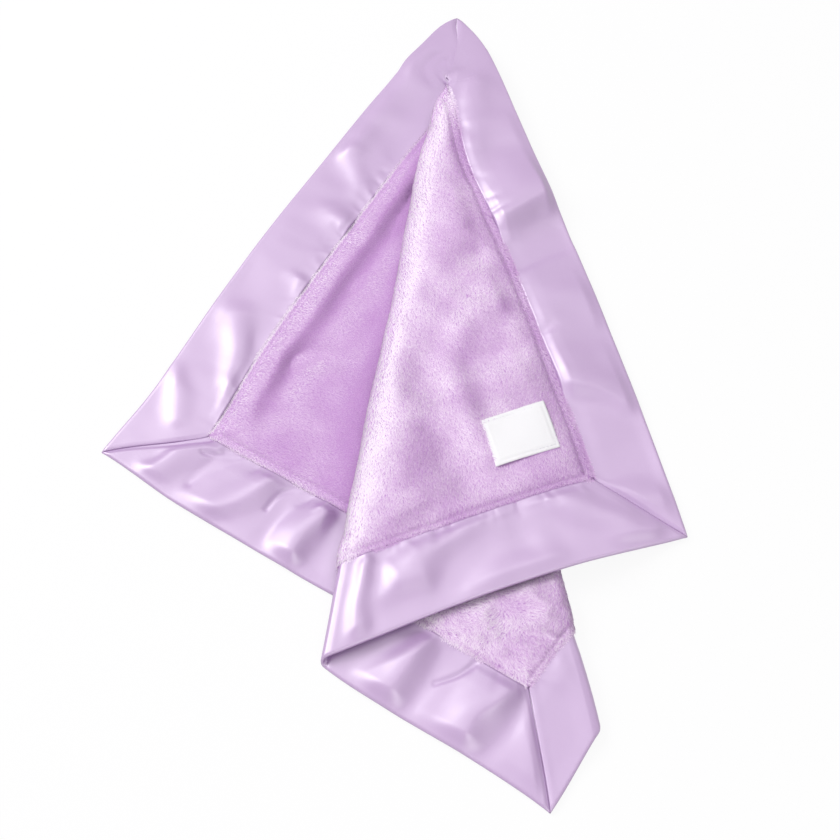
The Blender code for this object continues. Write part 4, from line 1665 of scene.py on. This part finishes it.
@dataclass(frozen=True)
class Lamp:
    """One soft square lamp that points at the blanket."""

    name: str
    place: tuple[float, float, float]
    size: float
    power: float

    def make(self) -> None:
        """Adds the lamp to the scene."""
        data = bpy.data.lights.new(self.name, "AREA")
        data.shape = "SQUARE"
        data.size = self.size
        data.energy = self.power
        obj = bpy.data.objects.new(self.name, data)
        obj.location = self.place
        obj.rotation_euler = (-Vector(self.place)).to_track_quat("-Z", "Y").to_euler()
        bpy.context.collection.objects.link(obj)


@dataclass
class Studio:
    """The pale floor, the soft lamps and the camera."""

    target: tuple = (0.0168, -0.0372, 0.0)
    distance: float = 0.787
    tilt: float = math.radians(24.6)
    focal_pixels: float = 1347.0
    picture_pixels: float = 840.0
    sensor_width: float = 36.0
    floor_size: float = 12.0
    floor_level: float = -0.0002
    floor_colour: tuple = (0.90, 0.89, 0.91, 1.0)
    floor_glow: float = 0.90
    world_colour: tuple = (1.0, 0.98, 1.0, 1.0)
    world_strength: float = 0.35
    lamps: tuple[Lamp, ...] = (
        Lamp("key", (-1.68, 0.80, 1.55), 1.28, 40.0),
        Lamp("overhead", (0.08, 0.32, 1.35), 1.2, 4.5),
        Lamp("fill", (0.45, -1.2, 1.0), 0.9, 5.8),
    )

    def floor(self) -> None:
        """Makes the floor, white to the camera but still showing the blanket's shadow."""
        half = self.floor_size / 2.0
        mesh = bpy.data.meshes.new("floor")
        corners = [(x * half, y * half, self.floor_level) for x, y in ((-1, -1), (1, -1), (1, 1), (-1, 1))]
        mesh.from_pydata(corners, [], [(0, 1, 2, 3)])
        obj = bpy.data.objects.new("floor", mesh)
        bpy.context.collection.objects.link(obj)
        nodes = material_nodes("floor")
        nodes.set(Base_Color=self.floor_colour, Roughness=0.9)
        glow = nodes.add("Emission", {"Color": (1.0, 1.0, 1.0, 1.0), "Strength": 1.0})
        share = nodes.maths("MULTIPLY", nodes.shown(), self.floor_glow)
        matt = nodes.tree.nodes["Principled BSDF"]
        mix = nodes.add("MixShader", {0: share, 1: matt.outputs[0], 2: glow.outputs[0]})
        nodes.put(nodes.tree.nodes["Material Output"].inputs["Surface"], mix.outputs[0])
        obj.data.materials.append(nodes.owner)

    def world(self) -> None:
        """Gives an even pale world, white where the camera sees it."""
        nodes = Nodes(bpy.data.worlds.new("studio"))
        bpy.context.scene.world = nodes.owner
        back = nodes.tree.nodes["Background"].inputs
        level = nodes.add("MapRange", {0: nodes.shown(), 3: self.world_strength, 4: 1.0})
        nodes.put(back["Color"], self.world_colour)
        nodes.put(back["Strength"], level.outputs[0])

    def camera(self) -> None:
        """Places the camera as in the photograph: steeply above, from the near side."""
        data = bpy.data.cameras.new("camera")
        data.sensor_width = self.sensor_width
        data.lens = self.focal_pixels / self.picture_pixels * data.sensor_width
        obj = bpy.data.objects.new("camera", data)
        back = Vector((0.0, -math.sin(self.tilt), math.cos(self.tilt)))
        obj.location = Vector(self.target) + back * self.distance
        obj.rotation_euler = (self.tilt, 0.0, 0.0)
        bpy.context.collection.objects.link(obj)
        bpy.context.scene.camera = obj

    def build(self) -> None:
        """Sets up the whole studio."""
        bpy.context.scene.view_settings.view_transform = "Standard"
        self.floor()
        self.world()
        for lamp in self.lamps:
            lamp.make()
        self.camera()


def ridges(*rows: tuple[float, ...]) -> list[Ridge]:
    """Ridges from rows of start, end, rises, widths and, where they aren't 0, lean and bend."""
    return [Ridge(row[:2], row[2:4], row[4:6], row[6:8], *row[8:]) for row in rows]


RIDGES = {
    Side.UPPER_RIGHT: ridges(
        (143, -4, 163, 50, 8.5, 8.5, 20, 18, -0.5), (180, -4, 192, 50, -5.0, -5.0, 9, 7, -0.3),
        (269, 50, 290, 12, 6.5, 3.5, 18, 14, -0.5, -3.0), (326, 50, 332, 10, -4.6, -1.6, 9, 9, -0.2),
        (346, 46, 358, -2, 2.6, 2.2, 8, 9), (226, -4, 222, 50, 2.2, 1.6, 15, 16),
        (58, 24, 112, 44, 1.8, 1.6, 12, 9), (84, 48, 96, 38, -1.2, -0.4, 4, 6),
        (153, 50, 152, 36, -2.2, -0.5, 2.0, 3.2), (138, 50, 141, 40, -1.8, -0.3, 1.8, 3),
        (184, 50, 180, 38, -2.2, -0.4, 2.0, 4), (243, 50, 237, 37, -2.2, -0.4, 1.8, 3.5),
        (165, 50, 169, 40, 0.6, 0.2, 2.0, 4), (228, 50, 232, 41, 0.6, 0.2, 2.0, 3),
        (120, 50, 124, 42, -1.2, -0.3, 1.8, 3), (262, 50, 266, 40, 0.6, 0.2, 2.0, 4),
    ),
    Side.LOWER_RIGHT: ridges(
        (26, 6, 86, 50, 3.4, 3.8, 10, 9), (88, 4, 134, 1, 3.0, 2.4, 13, 11),
        (104, 48, 172, 28, 3.6, 3.2, 8, 8), (100, 26, 150, 12, -1.4, -1.0, 8, 8),
        (160, 22, 182, 20, 2.2, 1.6, 7, 7), (207, -2, 185, 50, 3.4, 3.4, 9, 8),
        (196, 4, 180, 40, -1.0, -1.0, 6, 6), (270, 50, 270, -2, 6.0, 5.6, 12, 12, -0.25),
        (319, -2, 327, 50, 6.0, 6.0, 14, 12, -0.35), (287, 44, 286, 2, -1.4, -1.2, 7, 7),
        (337, 0, 338, 46, -1.4, -1.2, 6, 5), (291, 22, 303, 44, -1.4, -1.7, 1.5, 1.7, 0.0, 2.5),
        (364, 2, 352, 28, 2.6, 2.4, 10, 8, -0.3), (142, 50, 146, 40, -1.6, -0.4, 1.8, 3),
        (94, 50, 92, 38, -1.6, -0.4, 1.8, 3), (112, 50, 116, 41, -1.4, -0.4, 1.8, 3),
    ),
    Side.LOWER_LEFT: ridges(
        (60, 10, 70, 40, 1.6, 1.2, 12, 10), (46, 40, 50, 6, -0.8, -0.8, 8, 8),
        (253, -2, 243, 50, 5.6, 5.2, 11, 10, 0.2, 3.0), (277, 0, 268, 44, -1.6, -1.4, 6, 6),
        (313, -2, 281, 50, 4.0, 5.6, 11, 9, 0.15), (336, 2, 318, 44, -1.8, -1.6, 7, 6),
        (350, 6, 341, 42, 3.6, 3.6, 9, 9, -0.3), (328, 14, 326, 36, -1.2, -1.2, 2.5, 2.5),
        (283, 24, 270, 46, -1.5, -1.5, 1.5, 1.5, 0.0, 1.5), (311, 47, 332, 35, -1.9, -1.5, 1.8, 2.0),
        (262, 48, 266, 37, -1.4, -0.4, 1.5, 2.6), (250, 48, 256, 38, 1.3, 0.4, 1.6, 2.6),
        (298, 48, 303, 38, -1.4, -0.4, 1.5, 2.4),
    ),
    Side.UPPER_LEFT: ridges(
        (62, 46, 117, 19, 3.8, 2.2, 7, 9, 0.0, 3.0), (46, 20, 72, 1, 2.4, 2.8, 7, 8),
        (108, 40, 150, 32, -1.6, -0.8, 7, 9), (150, 48, 158, 30, 3.4, 0.8, 5, 5, -0.2),
        (203, 48, 213, 26, 4.2, 1.4, 7, 8), (236, 30, 254, 12, 1.8, 2.0, 8, 9),
        (262, 14, 350, 6, 2.6, 3.0, 9, 9), (276, 38, 336, 30, -1.6, -1.6, 8, 7),
        (168, 48, 177, 36, 2.2, 0.4, 2.0, 4), (228, 48, 237, 35, 2.2, 0.4, 2.0, 4),
        (264, 48, 271, 38, 1.6, 0.3, 2.0, 3), (160, 48, 163, 36, -1.8, -0.3, 1.8, 3.5),
        (192, 48, 190, 34, -2.0, -0.4, 2.2, 4), (82, 48, 90, 38, -1.8, -0.4, 2.2, 4),
        (106, 48, 110, 36, -1.6, -0.4, 2.0, 4),
    ),
}

SWELLS = ridges(
    (150, 118, 310, 156, 1.2, 1.6, 14, 22), (190, 118, 325, 118, -0.7, -0.5, 12, 10, 0.0, -6.0),
    (240, 106, 300, 104, 0.8, 1.2, 10, 8), (212, 66, 222, 92, 2.0, 1.8, 12, 12),
    (176, 62, 186, 98, -1.0, -0.8, 9, 9), (130, 66, 150, 72, 1.4, 1.4, 12, 12),
    (246, 62, 240, 92, -1.0, -0.8, 9, 9), (44, 140, 49, 300, 2.2, 1.8, 11, 12),
    (65, 130, 65, 300, -2.8, -2.0, 11, 11), (60, 270, 86, 252, -1.4, -1.2, 8, 8),
    (96, 200, 110, 280, 1.0, 1.0, 16, 16),
)


@dataclass
class Blanket:
    """The whole blanket, built from its plush, border, label and stitching."""

    pleat: KnifePleat
    panel_seed: int = 5
    strip_seed: int = 50

    def stitching(self, panels: dict[Face, PlushPanel]) -> dict[Face, bpy.types.Object]:
        """Makes the topstitching of both faces.

        Args:
            panels: The plush of each face.

        Returns:
            The stitches of each face.
        """
        thread = ThreadFinish("topstitch_thread").make()
        inset = panels[Face.FRONT].stitching_inset
        corners = self.pleat.pattern.seam_corners() + inset * np.array([(1, 1), (-1, 1), (-1, -1), (1, -1)])
        made = {}
        for face, panel in panels.items():
            which = face.name.lower()
            line = StitchLine(self.pleat, f"stitches_{which}", corners, face, panel.stitched_height)
            made[face] = line.build(thread, "thread")
            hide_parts(f"topstitching_{which}")
        return made

    def border(self) -> list[tuple[SatinStrip, bpy.types.Object]]:
        """Makes the four strips of satin.

        Returns:
            Each strip and its object.
        """
        satin = SatinFinish("satin").make()
        made = []
        for side in Side:
            strip = SatinStrip(self.pleat, side, RIDGES[side], self.strip_seed + side.value)
            made.append((strip, strip.build(satin)))
            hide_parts("satin_" + side.name.lower())
            log.info("%s built", strip.name)
        return made

    def build(self) -> None:
        ground = GroundFinish("plush_ground").make()
        pile_material = PileFinish("plush_pile").make()
        pale = {"colour": (0.80, 0.79, 0.83), "paler": (0.92, 0.91, 0.94)}
        label_thread = ThreadFinish("label_thread", **pale).make()

        panels = {face: PlushPanel(self.pleat, face, self.panel_seed + face.value) for face in Face}
        grounds = {face: panel.ground(ground) for face, panel in panels.items()}
        log.info("plush grounds built")
        label = WovenLabel(self.pleat)
        bare = label.corners(label.bare_inset)
        pile = Pile(self.pleat, panels[Face.FRONT], panels[Face.BACK], bare).build(pile_material)
        strips = self.border()
        ribbon, sewn = label.build(LabelFinish().make()), label.sew(label_thread)
        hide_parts("label")
        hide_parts("label_stitching")
        stitches = self.stitching(panels)
        log.info("label and stitching built")

        for face, strands in ((Face.FRONT, pile[:2]), (Face.BACK, pile[2:])):
            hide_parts("plush_" + face.name.lower())
        beneath = [grounds[Face.FRONT].name]


def main() -> None:
    """Builds the blanket and its studio."""
    logging.basicConfig(level=logging.INFO, format="%(name)s: %(message)s")
    Blanket(KnifePleat(Pattern())).build()
    Studio().build()


if __name__ == "__main__":
    main()
